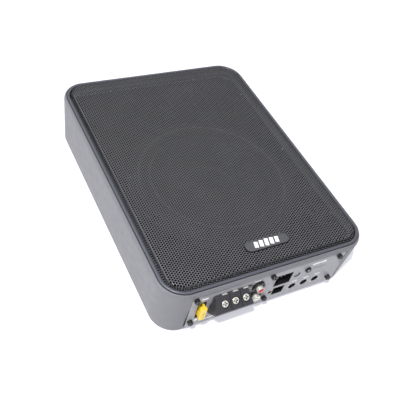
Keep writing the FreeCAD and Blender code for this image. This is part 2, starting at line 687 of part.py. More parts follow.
def make_terminal_block():
    body = fused(block_wedge(), block_base())
    cuts = []
    tab_y = PANEL_Y - 0.2 - LUG_T
    half_cell = (TERMINAL_X[1] - TERMINAL_X[0]) / 2
    groove = (-1, 1.1)
    for x in TERMINAL_X:
        cuts.append(block_rod(HEAD_R + 0.6, x, -1, WELL_DEPTH))
        cuts.append(block_rod(TERMINAL_SCREW_R + 0.2, x, WELL_DEPTH - 1, LUG_DEPTH + 1))
        x0 = x - LUG_HALF - 0.1
        x1 = x + LUG_HALF + 0.1
        cuts.append(block_box(x - CELL_HALF, x + CELL_HALF, LUG_DEPTH, CELL_DEPTH, -1, CELL_BACK))
        cuts.append(block_box(x0, x1, LUG_DEPTH - 0.05, LUG_DEPTH + LUG_T + 0.1,
                              CELL_BACK - 1, LUG_BACK + 0.8))
        cuts.append(box(x0, x1, tab_y - 0.1, PANEL_Y + 1, LUG_BEND_Z - 0.1, BASE_Z[1] + 1))
        cuts.append(box(x0, x1, PANEL_Y - 6, PANEL_Y + 1, LUG_TOP_Z - LUG_T - 0.1, BASE_Z[1] + 1))
    for x in (TERMINAL_X[0] + half_cell, TERMINAL_X[1] + half_cell):
        cuts.append(block_box(x - 0.6, x + 0.6, *groove, -1, 21))
        cuts.append(block_box(x - 0.6, x + 0.6, 0, 20, *groove))
    return body.cut(cuts)


def make_terminal_lugs():
    """Each lug is a bar that the wire is pressed against, bent up and over behind the block."""
    lugs = []
    y1 = PANEL_Y - 0.2
    y0 = y1 - LUG_T
    for x in TERMINAL_X:
        x0 = x - LUG_HALF
        x1 = x + LUG_HALF
        bar = block_box(x0, x1, LUG_DEPTH, LUG_DEPTH + LUG_T, SCREW_IN - 3.2, LUG_BACK)
        riser = box(x0, x1, y0, y1, LUG_BEND_Z, LUG_TOP_Z)
        lip = box(x0, x1, y1 - LUG_LIP, y1, LUG_TOP_Z - LUG_T, LUG_TOP_Z)
        hole = block_rod(TERMINAL_SCREW_R + 0.2, x, LUG_DEPTH - 1, LUG_DEPTH + LUG_T + 1)
        lugs.append(fused(bar, riser, lip).cut(hole))
    return group(lugs)


def make_terminal_screw(x):
    screw = pan_screw(HEAD_R, HEAD_H, TERMINAL_SCREW_R, TERMINAL_SCREW_LEN)
    return placed(screw, tuple(block_point(x, WELL_DEPTH, SCREW_IN)), OUT_N)


def make_terminal_clamp(x):
    """A rising saddle: the screw turns in its base, and its upturned sides keep the wire in."""
    depth0, depth1 = CLAMP_DEPTH
    half = CELL_HALF - 0.2
    saddle = block_box(x - half, x + half, depth0, depth1, SCREW_IN - CLAMP_HALF, SCREW_IN + CLAMP_HALF)
    trough = block_box(x - half + 1, x + half - 1, depth0 - 1, depth1 - 1.5,
                       SCREW_IN - CLAMP_HALF - 1, SCREW_IN + CLAMP_HALF + 1)
    return saddle.cut([trough, block_rod(TERMINAL_SCREW_R + SLIP, x, depth0 - 2, depth1 + 2)])


# ---- sockets, switch, lamp and potentiometers ----
RCA_R = 4.15
RCA_PROUD = 6.6
RCA_COLLAR_PROUD = 2.6
RCA_SEAT_R = 5.4           # recess in the collar for the shell's own flange
RCA_SEAT_Y = PANEL_Y - 0.6
RCA_BODY = (7.6, 13.0)     # half size across, and depth behind the panel


def make_rca_housing():
    y0 = PANEL_Y + PANEL_T + 0.1
    half, depth = RCA_BODY
    body = box(RCA_X - half, RCA_X + half, y0, y0 + depth, RCA_Z[1] - half, RCA_Z[0] + half)
    collars = [rod_y(RCA_COLLAR_R, RCA_X, z, PANEL_Y - RCA_COLLAR_PROUD, y0) for z in RCA_Z]
    cuts = [rod_y(RCA_R + 0.02, RCA_X, z, PANEL_Y - 4, y0 + 6) for z in RCA_Z]
    cuts += [rod_y(RCA_SEAT_R, RCA_X, z, PANEL_Y - 4, RCA_SEAT_Y) for z in RCA_Z]
    return fused(body, *collars).cut(cuts)


def make_rca_shells():
    shells = []
    for z in RCA_Z:
        y0 = PANEL_Y - RCA_PROUD
        tube = rod_y(RCA_R, RCA_X, z, y0, PANEL_Y + 7)
        flange = rod_y(RCA_SEAT_R - 0.1, RCA_X, z, RCA_SEAT_Y - 1, RCA_SEAT_Y)
        bore = rod_y(RCA_R - 0.45, RCA_X, z, y0 - 1, PANEL_Y + 8)
        shells.append(fused(tube, flange).cut(bore))
    return group(shells)


def make_rca_insulator(z):
    y0 = PANEL_Y - RCA_PROUD + 0.35
    plug = rod_y(RCA_R - 0.5, RCA_X, z, y0, PANEL_Y + 6)
    return plug.cut(rod_y(1.95, RCA_X, z, y0 - 1, PANEL_Y + 5))


def make_rca_contacts():
    contacts = []
    for z in RCA_Z:
        y0 = PANEL_Y - RCA_PROUD + 1.2
        sleeve = rod_y(1.9, RCA_X, z, y0, PANEL_Y + 5).cut(rod_y(1.6, RCA_X, z, y0 - 1, PANEL_Y + 4))
        contacts.append(sleeve)
    return group(contacts)


SOCKET_Y = PANEL_Y + PANEL_T + 0.05
SOCKET_WALL = 1.0
HIGH_LEVEL_DEPTH = 13.5
REMOTE_DEPTH = 11.5


def open_socket(x0, x1, z0, z1, depth):
    """A rectangular socket body whose mouth lines up with its opening in the panel."""
    w = SOCKET_WALL
    body = box(x0 - w, x1 + w, SOCKET_Y, SOCKET_Y + depth, z0 - w, z1 + w)
    return body.cut(box(x0, x1, SOCKET_Y - 1, SOCKET_Y + depth - 1.5, z0, z1))


def make_high_level_socket():
    """The larger socket, with a keying rib under its top wall."""
    x0, x1, z0, z1 = HIGH_LEVEL
    socket = open_socket(x0, x1, z0, z1, HIGH_LEVEL_DEPTH)
    key_x = (x0 + x1) / 2
    return fused(socket, box(key_x - 2.5, key_x + 2.5, SOCKET_Y, SOCKET_Y + 10, z1 - 2.0, z1 + 0.5))


def pin_row(x_centre, pitch, count, z, y0, y1, half):
    first = x_centre - pitch * (count - 1) / 2
    return [box(first + i * pitch - half, first + i * pitch + half, y0, y1, z - half, z + half)
            for i in range(count)]


def make_high_level_pins():
    x0, x1, z0, z1 = HIGH_LEVEL
    y1 = SOCKET_Y + HIGH_LEVEL_DEPTH - 1.5
    pins = []
    for z in (z0 + 5.6, z1 - 6.6):
        pins += pin_row((x0 + x1) / 2, 4.2, 4, z, y1 - 9, y1, 0.5)
    return group(pins)


def make_remote_socket():
    return open_socket(*REMOTE, REMOTE_DEPTH)


def make_remote_contacts():
    x0, x1, z0, z1 = REMOTE
    y1 = SOCKET_Y + REMOTE_DEPTH - 1.5
    return group(pin_row((x0 + x1) / 2, 2.0, 5, z0 + 4.0, y1 - 8, y1, 0.3))


def make_phase_switch_body():
    x, z = PHASE_AT
    y0 = PANEL_Y + PANEL_T + 2.0
    body = box(x - 4.7, x + 4.7, y0, y0 + 12, z - 5, z + 5)
    return body.cut(rod_y(2.0, x, z, y0 - 1, y0 + 7))


def make_phase_button():
    x, z = PHASE_AT
    front = PANEL_Y + 0.6
    cap = rod_y(PHASE_R - 0.5, x, z, front, front + 1.6)
    cap = cap.makeFillet(0.4, edges_at_y(cap, front))
    return fused(cap, rod_y(1.9, x, z, front + 1.6, PANEL_Y + 7.5))


def make_led_bezel():
    x, z = LED_AT
    ring = rod_y(3.6, x, z, PANEL_Y - 2.4, PANEL_Y)
    ring = ring.makeFillet(0.8, edges_at_y(ring, PANEL_Y - 2.4))
    barrel = rod_y(LED_HOLE_R - 0.05, x, z, PANEL_Y, PANEL_Y + 4)
    return fused(ring, barrel).cut(rod_y(1.65, x, z, PANEL_Y - 3, PANEL_Y + 5))


def make_power_led():
    x, z = LED_AT
    lens = rod_y(1.6, x, z, PANEL_Y - 2.3, PANEL_Y + 4)
    return lens.makeFillet(1.2, edges_at_y(lens, PANEL_Y - 2.3))


def make_adjuster(x):
    """A slotted potentiometer shaft, set back in its panel hole."""
    y0 = PANEL_Y + 3.0
    shaft = rod_y(3.0, x, KNOB_Z, y0, PANEL_Y + 9)
    shaft = shaft.makeChamfer(0.4, edges_at_y(shaft, y0))
    return shaft.cut(box(x - 4, x + 4, y0 - 1, y0 + 1.2, KNOB_Z - 0.55, KNOB_Z + 0.55))


def make_potentiometer_bodies():
    bodies = []
    y0 = PANEL_Y + PANEL_T + 0.3
    for x in KNOB_X:
        case = box(x - 6.5, x + 6.5, y0 + 2.2, y0 + 12, KNOB_Z - 6.5, KNOB_Z + 6.5)
        bush = rod_y(4.3, x, KNOB_Z, y0, y0 + 2.2)
        bodies.append(fused(case, bush).cut(rod_y(3.05, x, KNOB_Z, y0 - 1, PANEL_Y + 9.1)))
    return group(bodies)


# ---- amplifier ----
BOARD_Z = 9.0
BOARD_T = 1.6
BOARD_X = (-92.0, 92.0)
BOARD_Y = (-147.0, -86.0)
BOARD_HOLES = [(x, y) for x in (-86, 86) for y in (-141, -92)]
TOROID_AT = (-62.0, -112.0)
CORE_R = (7.6, 13.0)
CORE_H = 10.0
WIRE_T = 1.4                     # thickness of the winding round the core
CAN_ROWS = ((8.0, 25.0, -132, (-30, -10, 10)),       # radius, height, y and each x
            (5.0, 16.0, -135, (30, 44, 58, 72)))
TRANSISTOR_X = (-36, -18, 0, 18, 36, 54)
TRANSISTOR_Y = (-101.0, -96.4)


def make_amplifier_board():
    board = box(BOARD_X[0], BOARD_X[1], BOARD_Y[0], BOARD_Y[1], BOARD_Z, BOARD_Z + BOARD_T)
    return board.cut([rod_z(1.7, x, y, BOARD_Z - 1, BOARD_Z + 3) for x, y in BOARD_HOLES])


def make_board_standoffs():
    posts = []
    for x, y in BOARD_HOLES:
        post = rod_z(3.2, x, y, COVER_T, BOARD_Z)
        stud = rod_z(1.6, x, y, BOARD_Z, BOARD_Z + BOARD_T)
        head = rod_z(2.9, x, y, BOARD_Z + BOARD_T, BOARD_Z + BOARD_T + 1.8)
        posts.append(fused(post, stud, head))
    return group(posts)


def make_capacitors():
    z = BOARD_Z + BOARD_T
    cans = []
    for r, height, y, row in CAN_ROWS:
        for x in row:
            can = rod_z(r, x, y, z, z + height)
            cans.append(can.makeFillet(1.0, edges_at_z(can, z + height)))
    return group(cans)


def make_toroid_core():
    x, y = TOROID_AT
    z = BOARD_Z + BOARD_T + WIRE_T
    return washer(CORE_R[1], CORE_R[0], z, z + CORE_H, x, y)


def make_toroid_winding():
    """Enamelled wire round the core, modelled as a sleeve with a gap at the lead-outs."""
    x, y = TOROID_AT
    z = BOARD_Z + BOARD_T
    height = CORE_H + 2 * WIRE_T
    sleeve = washer(CORE_R[1] + WIRE_T, CORE_R[0] - WIRE_T, z, z + height, x, y)
    core_room = washer(CORE_R[1], CORE_R[0], z + WIRE_T, z + WIRE_T + CORE_H, x, y)
    lead_gap = box(x - 2.0, x + 2.0, y - 15, y - 5, z - 1, z + height + 1)
    return sleeve.cut([core_room, lead_gap])


def make_power_transistors():
    """Flat packages standing in a row near the board's inner edge."""
    z = BOARD_Z + BOARD_T
    packs = []
    y0, y1 = TRANSISTOR_Y
    for x in TRANSISTOR_X:
        body = box(x - 5.2, x + 5.2, y0, y1, z + 3.0, z + 18.0)
        legs = [box(x + dx - 0.4, x + dx + 0.4, y0 + 1.8, y0 + 2.5, z, z + 3.0) for dx in (-2.5, 0, 2.5)]
        packs.append(fused(body, *legs))
    return group(packs)


# ---- driver ----
TOP_PLATE_Z = (22.0, 27.0)
BACK_PLATE_Z = (5.0, 10.0)
POLE_R = 18.4
VENT_R = 6.0
PLATE_R = 48.0
MAGNET_R = (26.0, 52.0)
SPIDER_Z = 35.0
SPIDER_R = 60.0
NECK_Z = 38.0
CONE_TOP_Z = 53.6
CONE_T = 1.2
SHEET = 1.6


def make_yoke():
    """The back plate and the vented pole in one piece."""
    lo, hi = BACK_PLATE_Z
    top = TOP_PLATE_Z[1]
    return turned([(VENT_R, lo), (PLATE_R, lo), (PLATE_R, hi), (POLE_R, hi), (POLE_R, top), (VENT_R, top)])


def make_magnet():
    inner, outer = MAGNET_R
    ring = washer(outer, inner, BACK_PLATE_Z[1], TOP_PLATE_Z[0])
    round_edges = [e for e in ring.Edges if e.Curve.TypeId == "Part::GeomCircle"]
    rims = [e for e in round_edges if abs(e.Curve.Radius - outer) < 0.01]
    return ring.makeFillet(1.5, rims)


def make_top_plate():
    return washer(PLATE_R, COIL_R + 1.0, TOP_PLATE_Z[0], TOP_PLATE_Z[1])


def make_basket():
    """Pressed steel: a flange, a sloping bowl with windows, a ledge for the spider and a foot ring."""
    s = SHEET
    z_foot = TOP_PLATE_Z[1]
    z_ledge = SPIDER_Z - 1.0
    top = FLANGE_Z + FLANGE_T
    r_foot, r_knee, r_ledge = 54, 56, 66
    bowl = turned([(30, z_foot), (r_foot, z_foot), (r_knee, z_ledge - s), (r_ledge, z_ledge - s),
                   (BOWL_R, FLANGE_Z - 2), (BOWL_R, FLANGE_Z), (FLANGE_R, FLANGE_Z), (FLANGE_R, top),
                   (BOWL_R - s, top), (BOWL_R - s, FLANGE_Z - 1), (r_ledge - s * 0.6, z_ledge),
                   (r_knee - s, z_ledge), (r_foot - s, z_foot + s), (30, z_foot + s)])
    windows = []
    for i in range(6):
        window = box(62, BOWL_R + 4, DRIVER_Y - 17, DRIVER_Y + 17, z_ledge + 3.0, FLANGE_Z - 4.5)
        window.rotate(V(0, DRIVER_Y, 0), Z_AXIS, 30 + 60 * i)
        windows.append(window)
    return bowl.cut(windows + driver_screw_holes(DRIVER_SCREW_R + 0.2, FLANGE_Z, top))


def make_driver_gasket():
    ring = washer(FLANGE_R - 0.5, BOWL_R + 2.5, DECK_Z, FLANGE_Z)
    return ring.cut(driver_screw_holes(DRIVER_SCREW_R + 0.2, DECK_Z, FLANGE_Z))


def make_driver_screws():
    screw = pan_screw(*DRIVER_HEAD, DRIVER_SCREW_R, DRIVER_SCREW_LEN)
    top = FLANGE_Z + FLANGE_T
    return group([placed(screw, (x, y, top)) for x, y in driver_screw_points()])


def make_voice_coil():
    """The former with its winding, which is thicker along the gap."""
    inner = COIL_R - 0.4
    wound = COIL_R + 0.45
    lo, hi = 17.0, 31.0
    top = NECK_Z + 3
    return turned([(inner, lo), (wound, lo), (wound, hi), (COIL_R, hi), (COIL_R, top), (inner, top)])


def cone_z(r):
    """Height of the cone's underside: a shallow curve from the neck to the rim."""
    t = (r - COIL_R) / (CONE_R - COIL_R)
    return NECK_Z + (CONE_TOP_Z - CONE_T - NECK_Z) * t ** 0.85


def make_cone():
    radii = [COIL_R + 0.02 + (CONE_R - COIL_R - 0.02) * i / 8 for i in range(9)]
    under = [(r, cone_z(r)) for r in radii]
    upper = [(r, cone_z(r) + CONE_T) for r in reversed(radii)]
    return turned(under + upper)


def make_dust_cap():
    """A shallow dome glued to the cone."""
    base_r = 31.0
    rise = 7.0
    t = 1.0
    z = cone_z(base_r) + CONE_T + 0.02
    angles = [math.radians(a) for a in range(0, 91, 10)]
    outer = [(base_r * math.sin(a), z + rise * math.cos(a)) for a in reversed(angles)]
    inner = [((base_r - 1.4 * t) * math.sin(a), z + (rise - t) * math.cos(a)) for a in angles]
    return turned(outer + inner)


def roll_points(r_in, r_out, z, height, steps=10):
    """Points on a half roll between two radii."""
    middle = (r_in + r_out) / 2
    half = (r_out - r_in) / 2
    for i in range(steps + 1):
        a = math.pi * i / steps
        yield middle - half * math.cos(a), z + height * math.sin(a)


def make_surround():
    """One half roll, glued over the cone's rim and under its own outer lip."""
    z = FLANGE_Z + FLANGE_T
    t = 0.9
    cone_top = cone_z(CONE_R) + CONE_T
    z_in = max(z, cone_top) + 0.02
    top = [(CONE_R - 3, z_in + t)] + list(roll_points(CONE_R + 1, SURROUND_OUT_R - 4, z_in + t, ROLL_H))
    top.append((SURROUND_OUT_R, z_in + t))
    low = [(SURROUND_OUT_R, z_in)]
    low += list(reversed(list(roll_points(CONE_R + 1 + t, SURROUND_OUT_R - 4 - t, z_in, ROLL_H))))
    low.append((CONE_R - 3, z_in))
    return turned(top + low)


def make_spider():
    """A corrugated cloth disc between the coil former and the basket's ledge."""
    t = 0.7
    waves = 5
    steps = 40
    r0, r1 = COIL_R + 0.02, SPIDER_R
    line = []
    for i in range(steps + 1):
        s = i / steps
        r = r0 + (r1 - r0) * s
        fade = min(1.0, 6 * min(s, 1 - s))
        line.append((r, SPIDER_Z + 1.2 + 1.1 * fade * math.sin(2 * math.pi * waves * s)))
    line.append((SPIDER_R + 3.5, SPIDER_Z + 1.2))
    lower = [(r, z - t) for r, z in line]
    foot = [(SPIDER_R + 3.5, SPIDER_Z - 1.0 + 0.02), (SPIDER_R - 1, SPIDER_Z - 1.0 + 0.02),
            (SPIDER_R - 1, SPIDER_Z + 0.5)]
    below = [p for p in reversed(lower) if p[0] < SPIDER_R - 1]
    return turned(line + foot + below)


def tube_along(points, r):
    """A round wire through a list of points."""
    curve = Part.BSplineCurve()
    curve.interpolate([V(*p) for p in points])
    spine = Part.Wire([curve.toShape()])
    start = curve.value(curve.FirstParameter)
    tangent = curve.tangent(curve.FirstParameter)[0]
    circle = Part.Wire([Part.makeCircle(r, start, tangent)])
    return spine.makePipeShell([circle], True, True)


def make_speaker_wires():
    wires = []
    wire_r = 1.2
    for dx in (0.0, 4.0):
        wires.append(tube_along([(64 + dx, -92, BOARD_Z + BOARD_T + 0.3), (64 + dx, -91, 24),
                                 (60 + dx, -84, 36), (55 + 0.8 * dx, -78.5, 40)], wire_r))
    return group(wires)


def build_all():
    yield "enclosure", make_enclosure()
    yield "bottom_cover", make_bottom_cover()
    yield "bottom_gasket", make_bottom_gasket()
    yield "bottom_cover_screws", make_bottom_cover_screws()
    yield "bracket_inserts", make_bracket_inserts()
    yield "rubber_feet", make_rubber_feet()
    yield "grille_frame", make_grille_frame()
    yield "frame_screws", make_frame_screws()
    yield "grille", make_grille()
    yield "badge", make_badge()
    yield "badge_emblem", make_badge_emblem()
    yield "control_panel", make_control_panel()
    yield "panel_gasket", make_panel_gasket()
    yield "panel_screws", make_panel_screws()
    yield "fuse_body", make_fuse_body()
    yield "fuse_blades", make_fuse_blades()
    yield "fuse_holder", make_fuse_holder()
    yield "terminal_block", make_terminal_block()
    yield "terminal_lugs", make_terminal_lugs()
    for i, x in enumerate(TERMINAL_X, 1):
        yield f"terminal_screw_{i}", make_terminal_screw(x)
        yield f"terminal_clamp_{i}", make_terminal_clamp(x)
    yield "rca_housing", make_rca_housing()
    yield "rca_shells", make_rca_shells()
    yield "rca_insulator_red", make_rca_insulator(RCA_Z[0])
    yield "rca_insulator_white", make_rca_insulator(RCA_Z[1])
    yield "rca_contacts", make_rca_contacts()
    yield "high_level_socket", make_high_level_socket()
    yield "high_level_pins", make_high_level_pins()
    yield "remote_socket", make_remote_socket()
    yield "remote_contacts", make_remote_contacts()
    yield "phase_switch_body", make_phase_switch_body()
    yield "phase_button", make_phase_button()
    yield "led_bezel", make_led_bezel()
    yield "power_led", make_power_led()
    for name, x in zip(("gain_shaft", "crossover_shaft", "boost_shaft"), KNOB_X):
        yield name, make_adjuster(x)
    yield "potentiometer_bodies", make_potentiometer_bodies()
    yield "amplifier_board", make_amplifier_board()
    yield "board_standoffs", make_board_standoffs()
    yield "capacitors", make_capacitors()
    yield "toroid_core", make_toroid_core()
    yield "toroid_winding", make_toroid_winding()
    yield "power_transistors", make_power_transistors()
    yield "yoke", make_yoke()
    yield "magnet", make_magnet()
    yield "top_plate", make_top_plate()
    yield "basket", make_basket()
    yield "driver_gasket", make_driver_gasket()
    yield "driver_screws", make_driver_screws()
    yield "voice_coil", make_voice_coil()
    yield "cone", make_cone()
    yield "dust_cap", make_dust_cap()
    yield "surround", make_surround()
    yield "spider", make_spider()
    yield "speaker_wires", make_speaker_wires()


os.makedirs("parts", exist_ok=True)
for name, shape in build_all():
    shape.exportStep(f"parts/{name}.step")
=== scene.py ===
"""The looks of an under-seat powered subwoofer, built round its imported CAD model. Metres, Z up."""
import bpy
import json
import math
from mathutils import Matrix, Vector


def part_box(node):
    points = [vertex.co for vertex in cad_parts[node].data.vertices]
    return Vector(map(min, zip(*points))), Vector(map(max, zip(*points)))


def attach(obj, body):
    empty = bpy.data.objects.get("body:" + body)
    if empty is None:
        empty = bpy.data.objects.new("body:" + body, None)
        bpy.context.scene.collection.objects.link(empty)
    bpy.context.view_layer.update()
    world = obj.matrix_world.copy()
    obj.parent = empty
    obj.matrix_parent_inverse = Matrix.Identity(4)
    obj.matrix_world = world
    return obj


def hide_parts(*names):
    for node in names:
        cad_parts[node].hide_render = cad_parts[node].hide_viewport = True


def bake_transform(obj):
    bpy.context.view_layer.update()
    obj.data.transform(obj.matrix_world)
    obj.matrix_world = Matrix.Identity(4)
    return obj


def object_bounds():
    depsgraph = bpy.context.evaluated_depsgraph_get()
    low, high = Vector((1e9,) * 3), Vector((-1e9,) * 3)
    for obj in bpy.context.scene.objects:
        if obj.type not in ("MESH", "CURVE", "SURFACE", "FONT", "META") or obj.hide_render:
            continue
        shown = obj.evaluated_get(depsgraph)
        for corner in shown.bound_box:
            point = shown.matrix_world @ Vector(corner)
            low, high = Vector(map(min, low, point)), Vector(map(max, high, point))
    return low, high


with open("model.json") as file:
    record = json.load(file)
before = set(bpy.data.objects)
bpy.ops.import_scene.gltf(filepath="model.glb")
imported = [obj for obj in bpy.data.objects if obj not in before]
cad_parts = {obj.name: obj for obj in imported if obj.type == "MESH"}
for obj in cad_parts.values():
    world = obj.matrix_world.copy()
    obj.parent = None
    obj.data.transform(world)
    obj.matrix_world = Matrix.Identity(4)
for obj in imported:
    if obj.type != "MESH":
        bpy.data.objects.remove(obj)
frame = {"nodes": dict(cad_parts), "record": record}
cad_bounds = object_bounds()
MM = 0.001
ROOT = "housing"


# ---------------------------------------------------------------- materials
class Paint:
    """A node material: a Principled shader with colour variation, roughness variation and bump.
    Patterns lie in object space, and their sizes are in mm."""

    def __init__(self, name, colour, roughness=0.5, metallic=0.0, specular=0.5):
        self.material = bpy.data.materials.new(name)
        self.material.use_nodes = True
        self.tree = self.material.node_tree
        self.shader = self.tree.nodes["Principled BSDF"]
        self.shader.inputs["Base Color"].default_value = (*colour, 1)
        self.shader.inputs["Roughness"].default_value = roughness
        self.shader.inputs["Metallic"].default_value = metallic
        self.shader.inputs["Specular IOR Level"].default_value = specular
        self.colour = colour
        self.place = self.node("ShaderNodeTexCoord").outputs["Object"]
        self.heights = []

    def node(self, kind, **values):
        """A new node, with the given inputs or properties set."""
        made = self.tree.nodes.new(kind)
        for key, value in values.items():
            if key in made.inputs:
                made.inputs[key].default_value = value
            else:
                setattr(made, key, value)
        return made

    def link(self, output, socket):
        """Joins one node's output to another's input."""
        self.tree.links.new(output, socket)

    def noise(self, size_mm, detail=3.0, stretch=(1, 1, 1)):
        """Noise with blotches of about the given size, as a 0 to 1 value."""
        mapping = self.node("ShaderNodeMapping")
        mapping.inputs["Scale"].default_value = stretch
        self.link(self.place, mapping.inputs["Vector"])
        noise = self.node("ShaderNodeTexNoise", Scale=1.0 / (size_mm * MM), Detail=detail)
        self.link(mapping.outputs["Vector"], noise.inputs["Vector"])
        return noise.outputs["Fac"]

    def remap(self, value, low, high, from_low=0.3, from_high=0.7):
        """The value stretched so that from_low becomes low and from_high becomes high."""
        node = self.node("ShaderNodeMapRange")
        node.inputs["From Min"].default_value = from_low
        node.inputs["From Max"].default_value = from_high
        node.inputs["To Min"].default_value = low
        node.inputs["To Max"].default_value = high
        self.link(value, node.inputs["Value"])
        return node.outputs["Result"]

    def vary_colour(self, value, other, low=0.3, high=0.7):
        """Mixes the base colour towards another: none of it at value low, all of it at high."""
        mix = self.node("ShaderNodeMix", data_type="RGBA")
        factor = self.remap(value, 0.0, 1.0, low, high)
        self.link(factor, mix.inputs["Factor"])
        socket = self.shader.inputs["Base Color"]
        if socket.is_linked:
            self.link(socket.links[0].from_socket, mix.inputs["A"])
        else:
            mix.inputs["A"].default_value = (*self.colour, 1)
        mix.inputs["B"].default_value = (*other, 1)
        self.link(mix.outputs["Result"], socket)
        return self

    def vary_roughness(self, value, low, high):
        """Roughness between low and high, following a value."""
        self.link(self.remap(value, low, high), self.shader.inputs["Roughness"])
        return self

    def bump(self, value, height_mm, strength=1.0):
        """Relief that follows a value, on top of any relief added before."""
        node = self.node("ShaderNodeBump", Strength=strength, Distance=height_mm * MM)
        self.link(value, node.inputs["Height"])
        if self.heights:
            self.link(self.heights[-1].outputs["Normal"], node.inputs["Normal"])
        self.heights.append(node)
        self.link(node.outputs["Normal"], self.shader.inputs["Normal"])
        return self

    def soft_edges(self, radius_mm):
        """Rounds sharp edges in the shading, as moulding and plating do."""
        node = self.node("ShaderNodeBevel", Radius=radius_mm * MM)
        node.samples = 4
        if self.heights:
            self.link(node.outputs["Normal"], self.heights[0].inputs["Normal"])
        else:
            self.link(node.outputs["Normal"], self.shader.inputs["Normal"])
        return self

    def paint_recess_shade(self, reach_mm, shade):
        """Painted shade in corners: the base colour fades to a darker one where walls are near."""
        near = self.node("ShaderNodeAmbientOcclusion", Distance=reach_mm * MM)
        near.samples = 8
        return self.vary_colour(near.outputs["AO"], shade, 0.85, 0.35)

    def maths(self, operation, *inputs):
        """One maths node on values that are either numbers or other nodes' outputs."""
        node = self.node("ShaderNodeMath", operation=operation)
        for socket, value in zip(node.inputs, inputs):
            if isinstance(value, (int, float)):
                socket.default_value = value
            else:
                self.link(value, socket)
        return node.outputs["Value"]

    def axis(self, output, name):
        """One component of the object position ("Object") or the surface normal ("Normal")."""
        parts = self.node("ShaderNodeSeparateXYZ")
        self.link(self.node("ShaderNodeTexCoord").outputs[output], parts.inputs["Vector"])
        return parts.outputs[name]

    def paint_wall_shade(self, axis, shade, from_facing, to_facing):
        """Painted shade: faces that turn away from an axis, such as the walls of punched holes, go
        darker.
        """
        facing = self.maths("ABSOLUTE", self.axis("Normal", axis))
        return self.vary_colour(facing, shade, from_facing, to_facing)

    def set(self, **values):
        """Fixed values for shader inputs, named with _ for each space."""
        for key, value in values.items():
            self.shader.inputs[key.replace("_", " ")].default_value = value
        return self


DRIFT_MM = 45
SPECK_PER_GRAIN = 1.7
GLOSS_PATCH_MM = 9
GLOSS_SPREAD = 0.04


def grained_paint(name, colour, roughness, grain_mm, depth_mm, tint=0.06, metallic=0.0):
    """Textured paint or moulded plastic: a fine grain, slow colour drift and uneven gloss."""
    paint = Paint(name, colour, roughness, metallic)
    drift = paint.noise(DRIFT_MM, 2)
    paler = tuple(min(1.0, c * (1 + tint)) for c in colour)
    paint.vary_colour(drift, paler)
    speck = paint.noise(grain_mm * SPECK_PER_GRAIN, 4)
    darker = tuple(c * (1 - 1.6 * tint) for c in colour)
    paint.vary_colour(speck, darker, 0.55, 0.85)
    gloss = paint.noise(GLOSS_PATCH_MM, 3)
    paint.vary_roughness(gloss, roughness - GLOSS_SPREAD, roughness + GLOSS_SPREAD)
    paint.bump(paint.noise(grain_mm, 4), depth_mm)
    return paint


def brushed_metal(name, colour, roughness, stretch=(1, 1, 12)):
    """Bare metal with fine streaks, darker in patches."""
    metal = Paint(name, colour, roughness, 1.0)
    streaks = metal.noise(2.5, 5, stretch)
    metal.vary_colour(metal.noise(6, 3), tuple(c * 0.8 for c in colour))
    metal.vary_roughness(streaks, roughness - 0.08, roughness + 0.12)
    metal.bump(streaks, 0.02, 0.6)
    return metal


# Slots with a plain grained finish. Each has a material name, colour, roughness, grain and depth
# in mm, and where it matters the tint of its slow drift and how metallic it is.
GRAINED_FINISHES = {
    "frame_plastic": ("rim_plastic", (0.074, 0.076, 0.094), 0.34, 0.5, 0.02, 0.04),
    "badge_plate": ("badge_plastic", (0.07, 0.071, 0.08), 0.4, 0.3, 0.012),
    "emblem": ("white_print", (0.86, 0.86, 0.88), 0.45, 0.25, 0.006, 0.02),
    "cover_metal": ("cover_paint", (0.03, 0.03, 0.032), 0.5, 0.7, 0.05),
    "black_steel": ("black_oxide", (0.009, 0.009, 0.01), 0.24, 0.35, 0.01, 0.1, 0.25),
    "matt_black_steel": ("matt_black_coat", (0.008, 0.008, 0.009), 0.6, 0.5, 0.02),
    "rubber": ("foot_rubber", (0.018, 0.018, 0.018), 0.75, 0.4, 0.04),
    "soft_rubber": ("surround_rubber", (0.012, 0.012, 0.013), 0.45, 0.5, 0.02),
    "black_plastic": ("black_moulding", (0.008, 0.008, 0.01), 0.42, 0.4, 0.01),
    "block_plastic": ("block_moulding", (0.031, 0.031, 0.037), 0.3, 0.6, 0.012),
    "grey_plastic": ("button_moulding", (0.2, 0.2, 0.215), 0.4, 0.4, 0.012),
    "red_plastic": ("red_insulator", (0.62, 0.012, 0.03), 0.35, 0.3, 0.01),
    "white_plastic": ("white_insulator", (0.82, 0.8, 0.7), 0.4, 0.3, 0.01, 0.03),
    "capacitor_sleeve": ("can_sleeve", (0.02, 0.022, 0.05), 0.3, 1.2, 0.01),
    "ferrite": ("ferrite", (0.05, 0.05, 0.053), 0.6, 0.8, 0.06),
    "wire_red": ("wire_sleeve", (0.5, 0.02, 0.02), 0.4, 1.0, 0.02),
}
SOFT_EDGED = ("black_plastic", "badge_plate", "block_plastic", "black_steel")
SOFT_EDGE_MM = 0.35
# Painted shade in the recesses of these slots' parts: reach in mm and the dark colour they fade to.
SHADED_RECESSES = {  # reach in mm and the shade that recesses fade to
    "white_plastic": (2.5, (0.03, 0.03, 0.035)),
    "red_plastic": (2.5, (0.03, 0.03, 0.035)),
    "grey_plastic": (2.5, (0.03, 0.03, 0.035)),
    "frame_plastic": (5.0, (0.006, 0.006, 0.007)),
}
SHINE = {"matt_black_steel": 0.2, "soft_rubber": 0.25, "black_plastic": 0.25, "black_steel": 0.9}
# Nodes whose look differs from their slot's usual one: the basket is matt, and the terminal lugs'
# nickel carries painted shade on its sides.
SPECIAL_FINISHES_AND_SHADE = {"terminal_lugs": "side_shaded_nickel", "basket": "matt_black_steel"}


